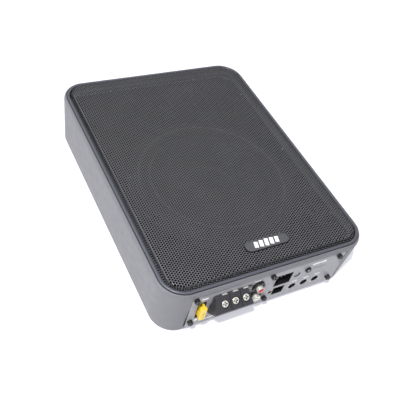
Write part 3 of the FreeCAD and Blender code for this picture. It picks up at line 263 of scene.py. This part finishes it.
def make_materials():
    """Every material by its slot's name, with the two special finishes, one of them nickel with painted
    shade on its sides.
    """
    made = {slot: grained_paint(*look) for slot, look in GRAINED_FINISHES.items()}
    made["shell"] = shell_paint()
    made["perforated_steel"] = perforated_paint()
    made["panel_paint"] = panel_paint()
    made["foam"] = foam()
    made["zinc_steel"] = brushed_metal("zinc_plate", (0.62, 0.6, 0.55), 0.32)
    made["brass"] = brushed_metal("turned_brass", (0.72, 0.5, 0.2), 0.28)
    made["nickel"] = nickel("nickel_plate")
    made["side_shaded_nickel"] = nickel("side_shaded_nickel_plate")
    made["fuse_yellow"] = fuse_plastic()
    made["lamp"] = lamp_lens()
    made["board"] = circuit_board()
    made["copper_wire"] = winding()
    made["paper"] = pressed_paper()
    made["cloth"] = woven_cloth()
    for slot in SOFT_EDGED:
        made[slot].soft_edges(SOFT_EDGE_MM)
    for slot, (reach_mm, shade) in SHADED_RECESSES.items():
        made[slot].paint_recess_shade(reach_mm, shade)
    for slot, shine in SHINE.items():
        made[slot].set(Specular_IOR_Level=shine)
    # Painted shade on the terminal lugs' sides, so that only their tops read bright.
    made["side_shaded_nickel"].paint_wall_shade("Z", (0.05, 0.048, 0.042), 0.7, 0.3)
    # Painted shade: the badge's side walls go near black, standing in for its shadow outline.
    made["badge_plate"].paint_wall_shade("Z", (0.004, 0.004, 0.005), 0.9, 0.5)
    return {slot: paint.material for slot, paint in made.items()}


SHELL_RIM = 7 * MM
SHELL_CORNER_CUT = 28 * MM
SHELL_SPECULAR = 0.5


def shell_paint():
    """Matt silver-grey coat outside. Within the tub, where it can be seen through the grille, the coat
    turns black
    without shine: painted shade. That region is a rectangle within the walls, less its four corners."""
    paint = grained_paint("shell_paint", (0.138, 0.14, 0.153), 0.46, 0.55, 0.04, 0.03)
    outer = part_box("enclosure")[1]
    across = paint.maths("ABSOLUTE", paint.axis("Object", "X"))
    along = paint.maths("ABSOLUTE", paint.axis("Object", "Y"))
    diagonal = paint.maths("ADD", across, along)
    within_x = paint.maths("LESS_THAN", across, outer.x - SHELL_RIM)
    within_y = paint.maths("LESS_THAN", along, outer.y - SHELL_RIM)
    within_corner = paint.maths("LESS_THAN", diagonal, outer.x + outer.y - SHELL_CORNER_CUT)
    painted_shade_within = paint.maths("MULTIPLY", paint.maths("MULTIPLY", within_x, within_y), within_corner)
    # Painted shade: within the tub, under the grille, the colour goes near black and the shine goes.
    paint.vary_colour(painted_shade_within, (0.004, 0.004, 0.004), 0.2, 0.8)
    gloss = paint.maths("MULTIPLY_ADD", painted_shade_within, -SHELL_SPECULAR, SHELL_SPECULAR)
    paint.link(gloss, paint.shader.inputs["Specular IOR Level"])
    return paint


def panel_paint():
    """Fine-textured pale grey paint, rubbed bright in specks, with painted shade on its edges and the
    walls of its cut-outs.
    """
    paint = grained_paint("panel_paint", (0.26, 0.262, 0.28), 0.4, 0.5, 0.03, 0.05)
    paint.vary_colour(paint.noise(0.8, 3), (0.42, 0.42, 0.45), 0.58, 0.8)
    paint.vary_colour(paint.noise(1.3, 3), (0.13, 0.13, 0.145), 0.56, 0.8)
    # Painted shade on faces not facing along Y: the panel's edges and the walls of its openings.
    paint.paint_wall_shade("Y", (0.006, 0.006, 0.007), 0.6, 0.3)
    return paint


def perforated_paint():
    """Satin grey powder coat on the sheet's face; its rolled edge and hole walls carry painted shade,
    near black.
    """
    paint = grained_paint("grille_coat", (0.128, 0.128, 0.139), 0.36, 0.3, 0.012, 0.08)
    rubbed = paint.noise(28, 2)
    paint.vary_colour(rubbed, (0.155, 0.155, 0.167), 0.5, 0.9)
    # Painted shade on the rolled edge and the hole walls.
    paint.paint_wall_shade("Z", (0.004, 0.004, 0.005), 0.95, 0.6)
    return paint


def nickel(name):
    """Bright plating, warm white, with painted shade that goes dark brown in its recesses."""
    metal = Paint(name, (0.76, 0.75, 0.7), 0.3, 0.55)
    metal.vary_colour(metal.noise(2.2, 3), (0.66, 0.63, 0.54), 0.45, 0.85)
    metal.vary_roughness(metal.noise(1.2, 4), 0.24, 0.42)
    metal.bump(metal.noise(0.8, 4), 0.012, 0.5)
    # Painted shade, dark brown, in the recesses.
    metal.paint_recess_shade(2.0, (0.04, 0.036, 0.024))
    metal.soft_edges(0.2)
    return metal


def fuse_plastic():
    """Clear-tinted yellow moulding with flow marks."""
    plastic = Paint("fuse_plastic", (0.74, 0.53, 0.03), 0.24)
    plastic.set(Subsurface_Weight=0.35, Coat_Weight=0.4)
    plastic.shader.inputs["Subsurface Radius"].default_value = (0.003, 0.0022, 0.0004)
    plastic.vary_colour(plastic.noise(3.5, 3, (1, 1, 0.5)), (0.62, 0.34, 0.012), 0.45, 0.8)
    plastic.vary_roughness(plastic.noise(1.5, 3), 0.15, 0.32)
    plastic.bump(plastic.noise(1.2, 3), 0.05, 0.6)
    plastic.soft_edges(0.3)
    return plastic


def lamp_lens():
    """Milky lens of the power lamp, not lit."""
    lens = Paint("lamp_lens", (0.85, 0.9, 0.95), 0.15)
    lens.set(Subsurface_Weight=0.4, Coat_Weight=0.6)
    lens.shader.inputs["Subsurface Radius"].default_value = (0.002, 0.002, 0.002)
    lens.vary_colour(lens.noise(0.9, 2), (0.7, 0.8, 0.92))
    lens.vary_roughness(lens.noise(0.6, 2), 0.1, 0.25)
    lens.bump(lens.noise(0.4, 2), 0.01, 0.4)
    return lens


def foam():
    """Closed-cell foam with visible cells."""
    paint = Paint("cell_foam", (0.03, 0.03, 0.03), 0.9)
    cells = paint.node("ShaderNodeTexVoronoi", Scale=1400.0)
    paint.link(paint.place, cells.inputs["Vector"])
    paint.vary_colour(cells.outputs["Distance"], (0.05, 0.05, 0.05), 0.1, 0.6)
    paint.bump(cells.outputs["Distance"], 0.2)
    return paint


def circuit_board():
    """Green solder mask over copper tracks."""
    board = Paint("solder_mask", (0.012, 0.11, 0.045), 0.3)
    tracks = board.node("ShaderNodeTexBrick", Scale=260.0)
    tracks.offset = 0.37
    tracks.inputs["Mortar Size"].default_value = 0.06
    board.link(board.place, tracks.inputs["Vector"])
    board.vary_colour(tracks.outputs["Fac"], (0.03, 0.2, 0.08), 0.2, 0.8)
    board.bump(tracks.outputs["Fac"], 0.03)
    board.vary_roughness(board.noise(4, 3), 0.22, 0.42)
    return board


def winding():
    """Close turns of enamelled copper."""
    copper = Paint("enamelled_copper", (0.5, 0.17, 0.05), 0.25, 0.85)
    turns = copper.node("ShaderNodeTexWave", Scale=420.0, Distortion=0.6)
    turns.bands_direction = "Z"
    copper.link(copper.place, turns.inputs["Vector"])
    copper.vary_colour(turns.outputs["Fac"], (0.25, 0.07, 0.02), 0.2, 0.9)
    copper.bump(turns.outputs["Fac"], 0.15)
    return copper


def pressed_paper():
    """Coated paper pulp: fibres and a faint ripple."""
    paper = Paint("cone_paper", (0.012, 0.012, 0.013), 0.7, specular=0.2)
    fibres = paper.noise(1.4, 6, (1, 1, 3))
    paper.vary_colour(fibres, (0.022, 0.022, 0.024), 0.45, 0.75)
    paper.vary_roughness(paper.noise(6, 3), 0.5, 0.75)
    paper.bump(fibres, 0.12)
    return paper


def woven_cloth():
    """Resin-dipped cloth: two crossing sets of threads."""
    cloth = Paint("spider_cloth", (0.62, 0.42, 0.18), 0.8)
    threads = cloth.node("ShaderNodeTexChecker", Scale=1800.0)
    cloth.link(cloth.place, threads.inputs["Vector"])
    cloth.vary_colour(threads.outputs["Fac"], (0.48, 0.3, 0.12), 0.2, 0.8)
    cloth.bump(threads.outputs["Fac"], 0.12)
    return cloth


materials = make_materials()


def slot_of(node):
    """The material slot that the record gives a node."""
    return next(s["material_slot"] for s in frame["record"]["subparts"] if s["node"] == node)


def dress_cad_nodes():
    """Each CAD node takes the material of its slot, or the special one named for it: the basket's matt
    finish, the terminal lugs' nickel with painted shade on its sides.
    """
    for name, node in frame["nodes"].items():
        key = SPECIAL_FINISHES_AND_SHADE.get(name, slot_of(name))
        node.data.materials.clear()
        node.data.materials.append(materials[key])


def finish_piece(piece, slot, replaces=()):
    """A piece fixed to the housing, in its slot's material, that may stand for CAD nodes."""
    piece.data.materials.append(materials[slot])
    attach(piece, ROOT)
    if replaces:
        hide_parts(*replaces)


def mesh_piece(name, vertices, faces, smooth_deg=None):
    """An object from a mesh; edges flatter than smooth_deg are shaded smooth."""
    mesh = bpy.data.meshes.new(name)
    mesh.from_pydata(vertices, [], faces)
    mesh.validate()
    if smooth_deg is not None:
        mesh.polygons.foreach_set("use_smooth", [True] * len(mesh.polygons))
        mesh.set_sharp_from_angle(angle=math.radians(smooth_deg))
    piece = bpy.data.objects.new(name, mesh)
    bpy.context.scene.collection.objects.link(piece)
    return piece


# ---------------------------------------------------------------- grille
HOLE_PITCH = 2.887 * MM
HOLE_R = 1.24 * MM
HOLE_SIDES = 12
SHEET_T = 1.0 * MM
ROLL_R = 4.0 * MM
CORNER_R = 19.0 * MM
EDGE_GAP = 0.4 * MM
STRIPS = 5
POINT_KEYS_PER_MM = 50
# In the texture layout, hole walls reach in from a hole's edge and outer walls reach out from a cell's.
HOLE_WALL_SHARE = 0.5
RIM_WALL_SHARE = 1.2


def rolled_sheet(lo, hi):
    """The shape of the pressed tray: how far a flat point lies outside the flat top, where a flat
    point goes on the outer or inner side, half of the blank's size, and the edge's reach."""
    mid = (lo + hi) / 2
    flat_x = (hi.x - lo.x) / 2 - ROLL_R
    flat_y = (hi.y - lo.y) / 2 - ROLL_R
    corner = CORNER_R - ROLL_R
    neutral = ROLL_R - SHEET_T / 2
    quarter = neutral * math.pi / 2

    def edge(x, y):
        """Distance outside the flat top and the outward direction there."""
        qx = abs(x) - (flat_x - corner)
        qy = abs(y) - (flat_y - corner)
        sx = math.copysign(1, x)
        sy = math.copysign(1, y)
        if qx > 0 and qy > 0:
            length = math.hypot(qx, qy)
            return length - corner, sx * qx / length, sy * qy / length
        if qx > qy:
            return qx - corner, sx, 0.0
        return qy - corner, 0.0, sy

    def place(x, y, outer):
        """Where a point of the flat blank ends up on the tray."""
        d, nx, ny = edge(x, y)
        radius = ROLL_R if outer else ROLL_R - SHEET_T
        top = hi.z - ROLL_R
        if d <= 0:
            return (mid.x + x, mid.y + y, top + radius)
        angle = min(d / neutral, math.pi / 2)
        out = radius * math.sin(angle) - d
        drop = max(0.0, d - quarter)
        return (mid.x + x + nx * out, mid.y + y + ny * out, top + radius * math.cos(angle) - drop)

    reach = quarter + (hi.z - ROLL_R - lo.z) - EDGE_GAP
    return edge, place, flat_x + reach, flat_y + reach, reach


def perforated_grille():
    """The pressed sheet with all of its staggered holes, in strips that meet at their seams."""
    lo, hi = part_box("grille")
    edge, place, half_x, half_y, reach = rolled_sheet(lo, hi)
    step_x = HOLE_PITCH * math.sqrt(3) / 2
    columns = int(half_x / step_x)
    rows = int(half_y / HOLE_PITCH) + 1
    cells = [[] for _ in range(STRIPS)]
    for i in range(-columns, columns + 1):
        strip = min(STRIPS - 1, (i + columns) * STRIPS // (2 * columns + 1))
        for j in range(-rows, rows + 1):
            x = i * step_x
            y = (j + 0.5 * (i % 2)) * HOLE_PITCH
            if edge(x, y)[0] < reach:
                cells[strip].append((x, y))
    for index, centres in enumerate(cells):
        vertices, faces, flat = perforated_strip(centres, place)
        piece = mesh_piece(f"grille_sheet_{index + 1}", vertices, faces, smooth_deg=35)
        lay_out_flat(piece, flat)
        finish_piece(piece, "perforated_steel", replaces=("grille",) if index == 0 else ())


def perforated_strip(centres, place):
    """Hexagonal cells with round holes, closed all round into one solid. It also returns each
    face corner's place on the flat sheet, as (x, y, side), for the strip's texture layout."""
    corner_r = HOLE_PITCH / math.sqrt(3)
    per_corner = HOLE_SIDES // 6
    points, faces, flat = [], [], []
    corner_index = {}
    border = {}

    def corner(x, y):
        """The point at x, y, shared by the cells that meet there."""
        key = (round(x / MM * POINT_KEYS_PER_MM), round(y / MM * POINT_KEYS_PER_MM))
        if key not in corner_index:
            corner_index[key] = len(points)
            points.append((x, y))
        return corner_index[key]

    cells = []
    for cx, cy in centres:
        hexagon = []
        for k in range(6):
            a = math.pi / 3 * k
            hexagon.append(corner(cx + corner_r * math.cos(a), cy + corner_r * math.sin(a)))
        rim = []
        for k in range(HOLE_SIDES):
            a = 2 * math.pi * k / HOLE_SIDES
            rim.append(len(points))
            points.append((cx + HOLE_R * math.cos(a), cy + HOLE_R * math.sin(a)))
        cells.append((cx, cy, hexagon, rim))
    under = len(points)

    def towards(index, cx, cy, share):
        """A texture place at a share of the way from a hole's centre to a point."""
        x, y = points[index]
        return (cx + (x - cx) * share, cy + (y - cy) * share, 0)

    for cx, cy, hexagon, rim in cells:
        for k in range(6):
            a, b = hexagon[k], hexagon[(k + 1) % 6]
            arc = [rim[(k * per_corner + s) % HOLE_SIDES] for s in range(per_corner + 1)]
            top = [a, b] + arc[::-1]
            faces.append(top)
            flat.append([(*points[v], 0) for v in top])
            faces.append([under + v for v in reversed(top)])
            flat.append([(*points[v], 1) for v in reversed(top)])
            if (b, a) in border:
                del border[(b, a)]
            else:
                border[(a, b)] = (cx, cy)
        for k in range(HOLE_SIDES):
            a, b = rim[k], rim[(k + 1) % HOLE_SIDES]
            faces.append([a, b, under + b, under + a])
            wall = ((a, 1), (b, 1), (b, HOLE_WALL_SHARE), (a, HOLE_WALL_SHARE))
            flat.append([towards(v, cx, cy, share) for v, share in wall])
    for (a, b), (cx, cy) in border.items():
        faces.append([b, a, under + a, under + b])
        wall = ((b, 1), (a, 1), (a, RIM_WALL_SHARE), (b, RIM_WALL_SHARE))
        flat.append([towards(v, cx, cy, share) for v, share in wall])
    vertices = [place(x, y, True) for x, y in points] + [place(x, y, False) for x, y in points]
    return vertices, faces, flat


UV_MARGIN = 0.005
UV_HALF = 0.5


def lay_out_flat(piece, flat):
    """Texture coordinates for baking: the upper side on the left half, the under side on the right."""
    corners = [c for face in flat for c in face]
    x0, x1 = min(c[0] for c in corners), max(c[0] for c in corners)
    y0, y1 = min(c[1] for c in corners), max(c[1] for c in corners)
    layer = piece.data.uv_layers.new(name="OFBake")
    values = []
    for x, y, side in corners:
        values.append(UV_HALF * side + UV_MARGIN + (UV_HALF - 2 * UV_MARGIN) * (x - x0) / (x1 - x0))
        values.append(UV_MARGIN + (1 - 2 * UV_MARGIN) * (y - y0) / (y1 - y0))
    layer.data.foreach_set("uv", values)


# ---------------------------------------------------------------- surround and spider
SURROUND_WIDTH = 22 * MM
SURROUND_FLAT = 4 * MM
SURROUND_T = 0.9 * MM
SURROUND_STEPS = 20
SPIDER_FLAT = 5 * MM
SPIDER_T = 0.7 * MM
SPIDER_SINK = 1.1 * MM
SPIDER_WAVE = 1.05 * MM
SPIDER_WAVES = 5
SPIDER_STEPS = 72
SPIDER_FADE = 6
COIL_OVERLAP = 0.4 * MM


def bending_ring(piece, slot, node):
    """A soft ring in place of a CAD node, from the moving parts at its inner edge to the basket at its
    outer
    edge: it takes the slot's material, the node is hidden, and the ring's placing is fixed into its
    mesh."""
    piece.data.materials.append(materials[slot])
    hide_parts(node)
    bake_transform(piece)


def turned_piece(name, profile, centre, segments, smooth_deg):
    """A closed ring swept round the driver's axis from a closed (radius, z) profile, which runs
    outwards along its top and back along its underside."""
    vertices = []
    faces = []
    n = len(profile)
    for s in range(segments):
        a = 2 * math.pi * s / segments
        for r, z in profile:
            vertices.append((centre.x + r * math.cos(a), centre.y + r * math.sin(a), z))
    for s in range(segments):
        t = (s + 1) % segments
        for k in range(n):
            m = (k + 1) % n
            faces.append([s * n + m, t * n + m, t * n + k, s * n + k])
    return mesh_piece(name, vertices, faces, smooth_deg)


def driver_centre():
    """A point on the axis of the cone and the magnet."""
    lo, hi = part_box("magnet")
    return (lo + hi) / 2


def make_surround():
    """The rubber half-roll between the cone and the basket."""
    lo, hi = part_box("surround")
    centre = driver_centre()
    outer = (hi.x - lo.x) / 2
    inner = outer - SURROUND_WIDTH
    r0 = inner + SURROUND_FLAT
    r1 = outer - SURROUND_FLAT
    roll = []
    for i in range(SURROUND_STEPS + 1):
        a = math.pi * i / SURROUND_STEPS
        r = (r0 + r1) / 2 - (r1 - r0) / 2 * math.cos(a)
        roll.append((r, (hi.z - lo.z - SURROUND_T) * math.sin(a)))
    lower = [(inner, lo.z)] + [(r, lo.z + rise) for r, rise in roll] + [(outer, lo.z)]
    upper = [(r, z + SURROUND_T) for r, z in lower]
    ring = turned_piece("surround_roll", upper + lower[::-1], centre, segments=128, smooth_deg=50)
    bending_ring(ring, "soft_rubber", "surround")


def make_spider():
    """The waved cloth disc between the voice coil and the basket."""
    lo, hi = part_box("spider")
    centre = driver_centre()
    outer = (hi.x - lo.x) / 2
    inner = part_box("voice_coil")[1].x - COIL_OVERLAP
    clamp = outer - SPIDER_FLAT
    level = hi.z - SPIDER_SINK
    upper = []
    for i in range(SPIDER_STEPS + 1):
        s = i / SPIDER_STEPS
        fade = min(1.0, SPIDER_FADE * min(s, 1 - s))
        wave = SPIDER_WAVE * fade * math.sin(2 * math.pi * SPIDER_WAVES * s)
        upper.append((inner + (clamp - inner) * s, level + wave))
    upper.append((outer, level))
    lower = [(r, z - SPIDER_T) for r, z in reversed(upper)]
    disc = turned_piece("spider_disc", upper + lower, centre, segments=96, smooth_deg=60)
    bending_ring(disc, "cloth", "spider")


# ---------------------------------------------------------------- feet
FOOT_R = 8.5 * MM
FOOT_PROFILE = (  # (radius, height) in mm, from the dished middle of the sole up to the cover
    (0, 0.8), (3.7, 0.8), (4.0, 0.5), (4.15, 0.15), (4.5, 0), (5.2, 0),
    (5.35, 0.3), (5.65, 0.3), (5.8, 0), (7.1, 0), (7.6, 0.1), (8.0, 0.35),
    (8.3, 0.85), (8.5, 1.9), (8.42, 2.8), (8.2, 3.6), (8.05, 4.0), (0, 4.0),
)


def turned_solid(profile, x, y, z, segments=72):
    """Vertices and faces of a solid turned about a vertical axis. Its profile starts and ends there."""
    rings = profile[1:-1]
    vertices = [(x, y, z + profile[0][1] * MM), (x, y, z + profile[-1][1] * MM)]
    faces = []
    for s in range(segments):
        a = 2 * math.pi * s / segments
        for r, h in rings:
            vertices.append((x + r * MM * math.cos(a), y + r * MM * math.sin(a), z + h * MM))
    n = len(rings)
    for s in range(segments):
        here = 2 + s * n
        there = 2 + (s + 1) % segments * n
        faces.append([0, there, here])
        faces.append([1, here + n - 1, there + n - 1])
        for k in range(n - 1):
            faces.append([here + k, there + k, there + k + 1, here + k + 1])
    return vertices, faces


def make_feet():
    """Four moulded rubber feet with barrelled sides, a grip groove and a dished sole."""
    lo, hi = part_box("rubber_feet")
    pads = []
    for x in (lo.x + FOOT_R, hi.x - FOOT_R):
        for y in (lo.y + FOOT_R, hi.y - FOOT_R):
            pads.append(turned_solid(FOOT_PROFILE, x, y, lo.z))
    vertices, faces = joined(pads)
    feet = mesh_piece("foot_pads", vertices, faces, smooth_deg=40)
    finish_piece(feet, "rubber", replaces=("rubber_feet",))


# ---------------------------------------------------------------- printed marks
PRINT_T = 0.06 * MM
SHAFTS = ("gain_shaft", "crossover_shaft", "boost_shaft")
TICKS = 11
TICK_STEP_DEG = 30
FIRST_TICK_DEG = -60
TICK_RING_R = 6.3 * MM
# Marks in mm: how far across and up they are from where they start, then width and height.
TICK_SIZE = (0.7, 0.7)
SHAFT_BAR = (0, 9.4, 7.0, 1.0)
LAMP_DASH = (1.6, 6.6, 1.9, 2.4)
LAMP_DASHES = 7
LAMP_DASH_STEP = 2.7
LAMP_DASH_SLANT = 0.35
JACK_SQUARE = (-5.5, 4.4, 1.8, 1.8)
JACK_SQUARES = 3
JACK_SQUARE_STEP = 2.5
FUSE_UPPER_BAR = (1.5, 9.2, 7.0, 2.0)
FUSE_LOWER_BAR = (-2.0, -8.6, 3.0, 2.4)
TERMINAL_BARS = ((6.0, -13.2, 13.0, 1.4), (26.0, -13.2, 13.0, 1.4))
CAPTION_DASH = (5.5, -5.4, 2.1, 0.9)
CAPTION_DASHES = 6
CAPTION_DASH_STEP = 2.9


def printed_bar(x, z, width, height, y, slant=0.0):
    """Vertices and faces of a thin raised bar on the panel, facing -Y."""
    corners = []
    for dx, dz in ((-1, -1), (1, -1), (1, 1), (-1, 1)):
        corners.append((x + dx * width / 2 + dz * height / 2 * slant, z + dz * height / 2))
    vertices = [(cx, y, cz) for cx, cz in corners] + [(cx, y - PRINT_T, cz) for cx, cz in corners]
    faces = [(0, 3, 2, 1), (4, 5, 6, 7)] + [(k, (k + 1) % 4, 4 + (k + 1) % 4, 4 + k) for k in range(4)]
    return vertices, [list(f) for f in faces]


def joined(parts):
    """Vertices and faces of several parts as one mesh."""
    vertices = []
    faces = []
    for part_vertices, part_faces in parts:
        start = len(vertices)
        vertices += part_vertices
        faces += [[start + v for v in face] for face in part_faces]
    return vertices, faces


def row_of_bars(x, z, mark, count=1, step=0.0, slant=0.0):
    """A row of equal bars on the panel's face, starting from x, z."""
    face_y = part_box("control_panel")[0].y
    across, up, width, height = mark
    bars = []
    for k in range(count):
        bar_x = x + (across + step * k) * MM
        bars.append(printed_bar(bar_x, z + up * MM, width * MM, height * MM, face_y, slant))
    return bars


def panel_print():
    """Plain marks: ticks round the adjusters, dashes beside the lamp and bars at the terminals."""
    bars = []
    for shaft in SHAFTS:
        lo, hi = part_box(shaft)
        x = (lo.x + hi.x) / 2
        z = (lo.z + hi.z) / 2
        for k in range(TICKS):
            a = math.radians(FIRST_TICK_DEG + TICK_STEP_DEG * k)
            tick_x = x + TICK_RING_R * math.cos(a)
            tick_z = z + TICK_RING_R * math.sin(a)
            bars += row_of_bars(tick_x, tick_z, (0, 0, *TICK_SIZE))
        bars += row_of_bars(x, z, SHAFT_BAR)
    lo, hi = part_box("led_bezel")
    lamp_z = (lo.z + hi.z) / 2
    bars += row_of_bars(hi.x, lamp_z, LAMP_DASH, LAMP_DASHES, LAMP_DASH_STEP, LAMP_DASH_SLANT)
    lo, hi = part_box("rca_shells")
    bars += row_of_bars((lo.x + hi.x) / 2, hi.z, JACK_SQUARE, JACK_SQUARES, JACK_SQUARE_STEP)
    lo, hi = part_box("fuse_body")
    bars += row_of_bars((lo.x + hi.x) / 2, hi.z, FUSE_UPPER_BAR)
    bars += row_of_bars((lo.x + hi.x) / 2, lo.z, FUSE_LOWER_BAR)
    lo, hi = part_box("terminal_block")
    for mark in TERMINAL_BARS:
        bars += row_of_bars(lo.x, lo.z, mark)
    vertices, faces = joined(bars)
    finish_piece(mesh_piece("panel_print", vertices, faces), "emblem")


def lamp_caption():
    """The thinner black line of dashes under the bright one beside the lamp."""
    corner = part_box("led_bezel")[1]
    bars = row_of_bars(corner.x, corner.z, CAPTION_DASH, CAPTION_DASHES, CAPTION_DASH_STEP)
    vertices, faces = joined(bars)
    finish_piece(mesh_piece("lamp_caption", vertices, faces), "black_plastic")


# ---------------------------------------------------------------- stage
BACKDROP = 0.95
LIGHT_BELOW = 0.25
LIGHT_OVERHEAD = 0.6
SKY_COLOUR = (0.985, 0.985, 1.0, 1)
FLOOR_REACH = 6.0
FLOOR_COLOUR = (0.55, 0.55, 0.55)
FLOOR_GLOW = (0.47, 0.47, 0.52, 1)
AIM = (0, 0, 0.03)
LIGHTS = (  # name, place, size in metres, watts
    ("key", (-1.02, -0.68, 2.05), 0.12, 66),
    ("left_softbox", (-1.9, 0.1, 0.6), 1.3, 14),
    ("front_softbox", (0.3, -2.2, 0.7), 1.2, 2),
)
CAMERA_TARGET = (-0.0197, -0.0359, 0.040)
CAMERA_AZIMUTH = math.radians(-38.3)
CAMERA_ELEVATION = math.radians(46.35)
CAMERA_ROLL = math.radians(16.4)
CAMERA_DISTANCE = 0.6926
CAMERA_LENS_MM = 53.98
CAMERA_SHIFT = (-0.0009, -0.0016)


def world_light():
    """Soft studio surroundings: they light more from overhead, and show as one pale backdrop."""
    world = bpy.data.worlds.new("studio")
    world.use_nodes = True
    nodes = world.node_tree.nodes
    links = world.node_tree.links
    background = nodes["Background"]
    background.inputs["Color"].default_value = SKY_COLOUR
    direction = nodes.new("ShaderNodeTexCoord")
    height = nodes.new("ShaderNodeSeparateXYZ")
    strength = nodes.new("ShaderNodeMapRange")
    strength.inputs["To Min"].default_value = LIGHT_BELOW
    strength.inputs["To Max"].default_value = LIGHT_OVERHEAD
    ray = nodes.new("ShaderNodeLightPath")
    seen = nodes.new("ShaderNodeMix")
    seen.inputs["B"].default_value = BACKDROP
    links.new(direction.outputs["Generated"], height.inputs["Vector"])
    links.new(height.outputs["Z"], strength.inputs["Value"])
    links.new(ray.outputs["Is Camera Ray"], seen.inputs["Factor"])
    links.new(strength.outputs["Result"], seen.inputs["A"])
    links.new(seen.outputs["Result"], background.inputs["Strength"])
    bpy.context.scene.world = world


def area_light(name, place, size, power):
    """A square lamp that faces the subwoofer."""
    data = bpy.data.lights.new(name, "AREA")
    data.size = size
    data.energy = power
    lamp = bpy.data.objects.new(name, data)
    lamp.location = place
    lamp.rotation_mode = "QUATERNION"
    lamp.rotation_quaternion = (Vector(AIM) - Vector(place)).to_track_quat("-Z", "Y")
    bpy.context.scene.collection.objects.link(lamp)


def floor(z):
    """A pale floor that glows a little, so that shadows on it stay faint."""
    reach = FLOOR_REACH
    corners = [(-reach, -reach, z), (reach, -reach, z), (reach, reach, z), (-reach, reach, z)]
    plane = mesh_piece("floor", corners, [[0, 1, 2, 3]])
    paint = grained_paint("floor_paint", FLOOR_COLOUR, 0.6, 3.0, 0.02, 0.01)
    paint.set(Emission_Color=FLOOR_GLOW, Emission_Strength=1.0)
    plane.data.materials.append(paint.material)


def product_camera():
    """The product shot's viewpoint: high, from the front left, with the camera rolled."""
    level = math.cos(CAMERA_ELEVATION)
    back = Vector((math.sin(CAMERA_AZIMUTH) * level, -math.cos(CAMERA_AZIMUTH) * level,
                   math.sin(CAMERA_ELEVATION)))
    right = (-back).cross(Vector((0, 0, 1))).normalized()
    up = right.cross(-back)
    rolled_right = math.cos(CAMERA_ROLL) * right + math.sin(CAMERA_ROLL) * up
    rolled_up = -math.sin(CAMERA_ROLL) * right + math.cos(CAMERA_ROLL) * up
    turn = Matrix((rolled_right, rolled_up, back)).transposed()
    data = bpy.data.cameras.new("camera")
    data.lens = CAMERA_LENS_MM
    data.sensor_width = 36.0
    data.clip_start = 0.01
    data.shift_x, data.shift_y = CAMERA_SHIFT
    camera = bpy.data.objects.new("camera", data)
    place = Vector(CAMERA_TARGET) + back * CAMERA_DISTANCE
    camera.matrix_world = Matrix.Translation(place) @ turn.to_4x4()
    bpy.context.scene.collection.objects.link(camera)
    bpy.context.scene.camera = camera


def make_stage():
    """Surroundings, floor, lights and camera."""
    world_light()
    floor(cad_bounds[0].z)
    for light in LIGHTS:
        area_light(*light)
    product_camera()
    bpy.context.scene.view_settings.view_transform = "Standard"


dress_cad_nodes()
perforated_grille()
make_surround()
make_spider()
make_feet()
panel_print()
lamp_caption()
make_stage()
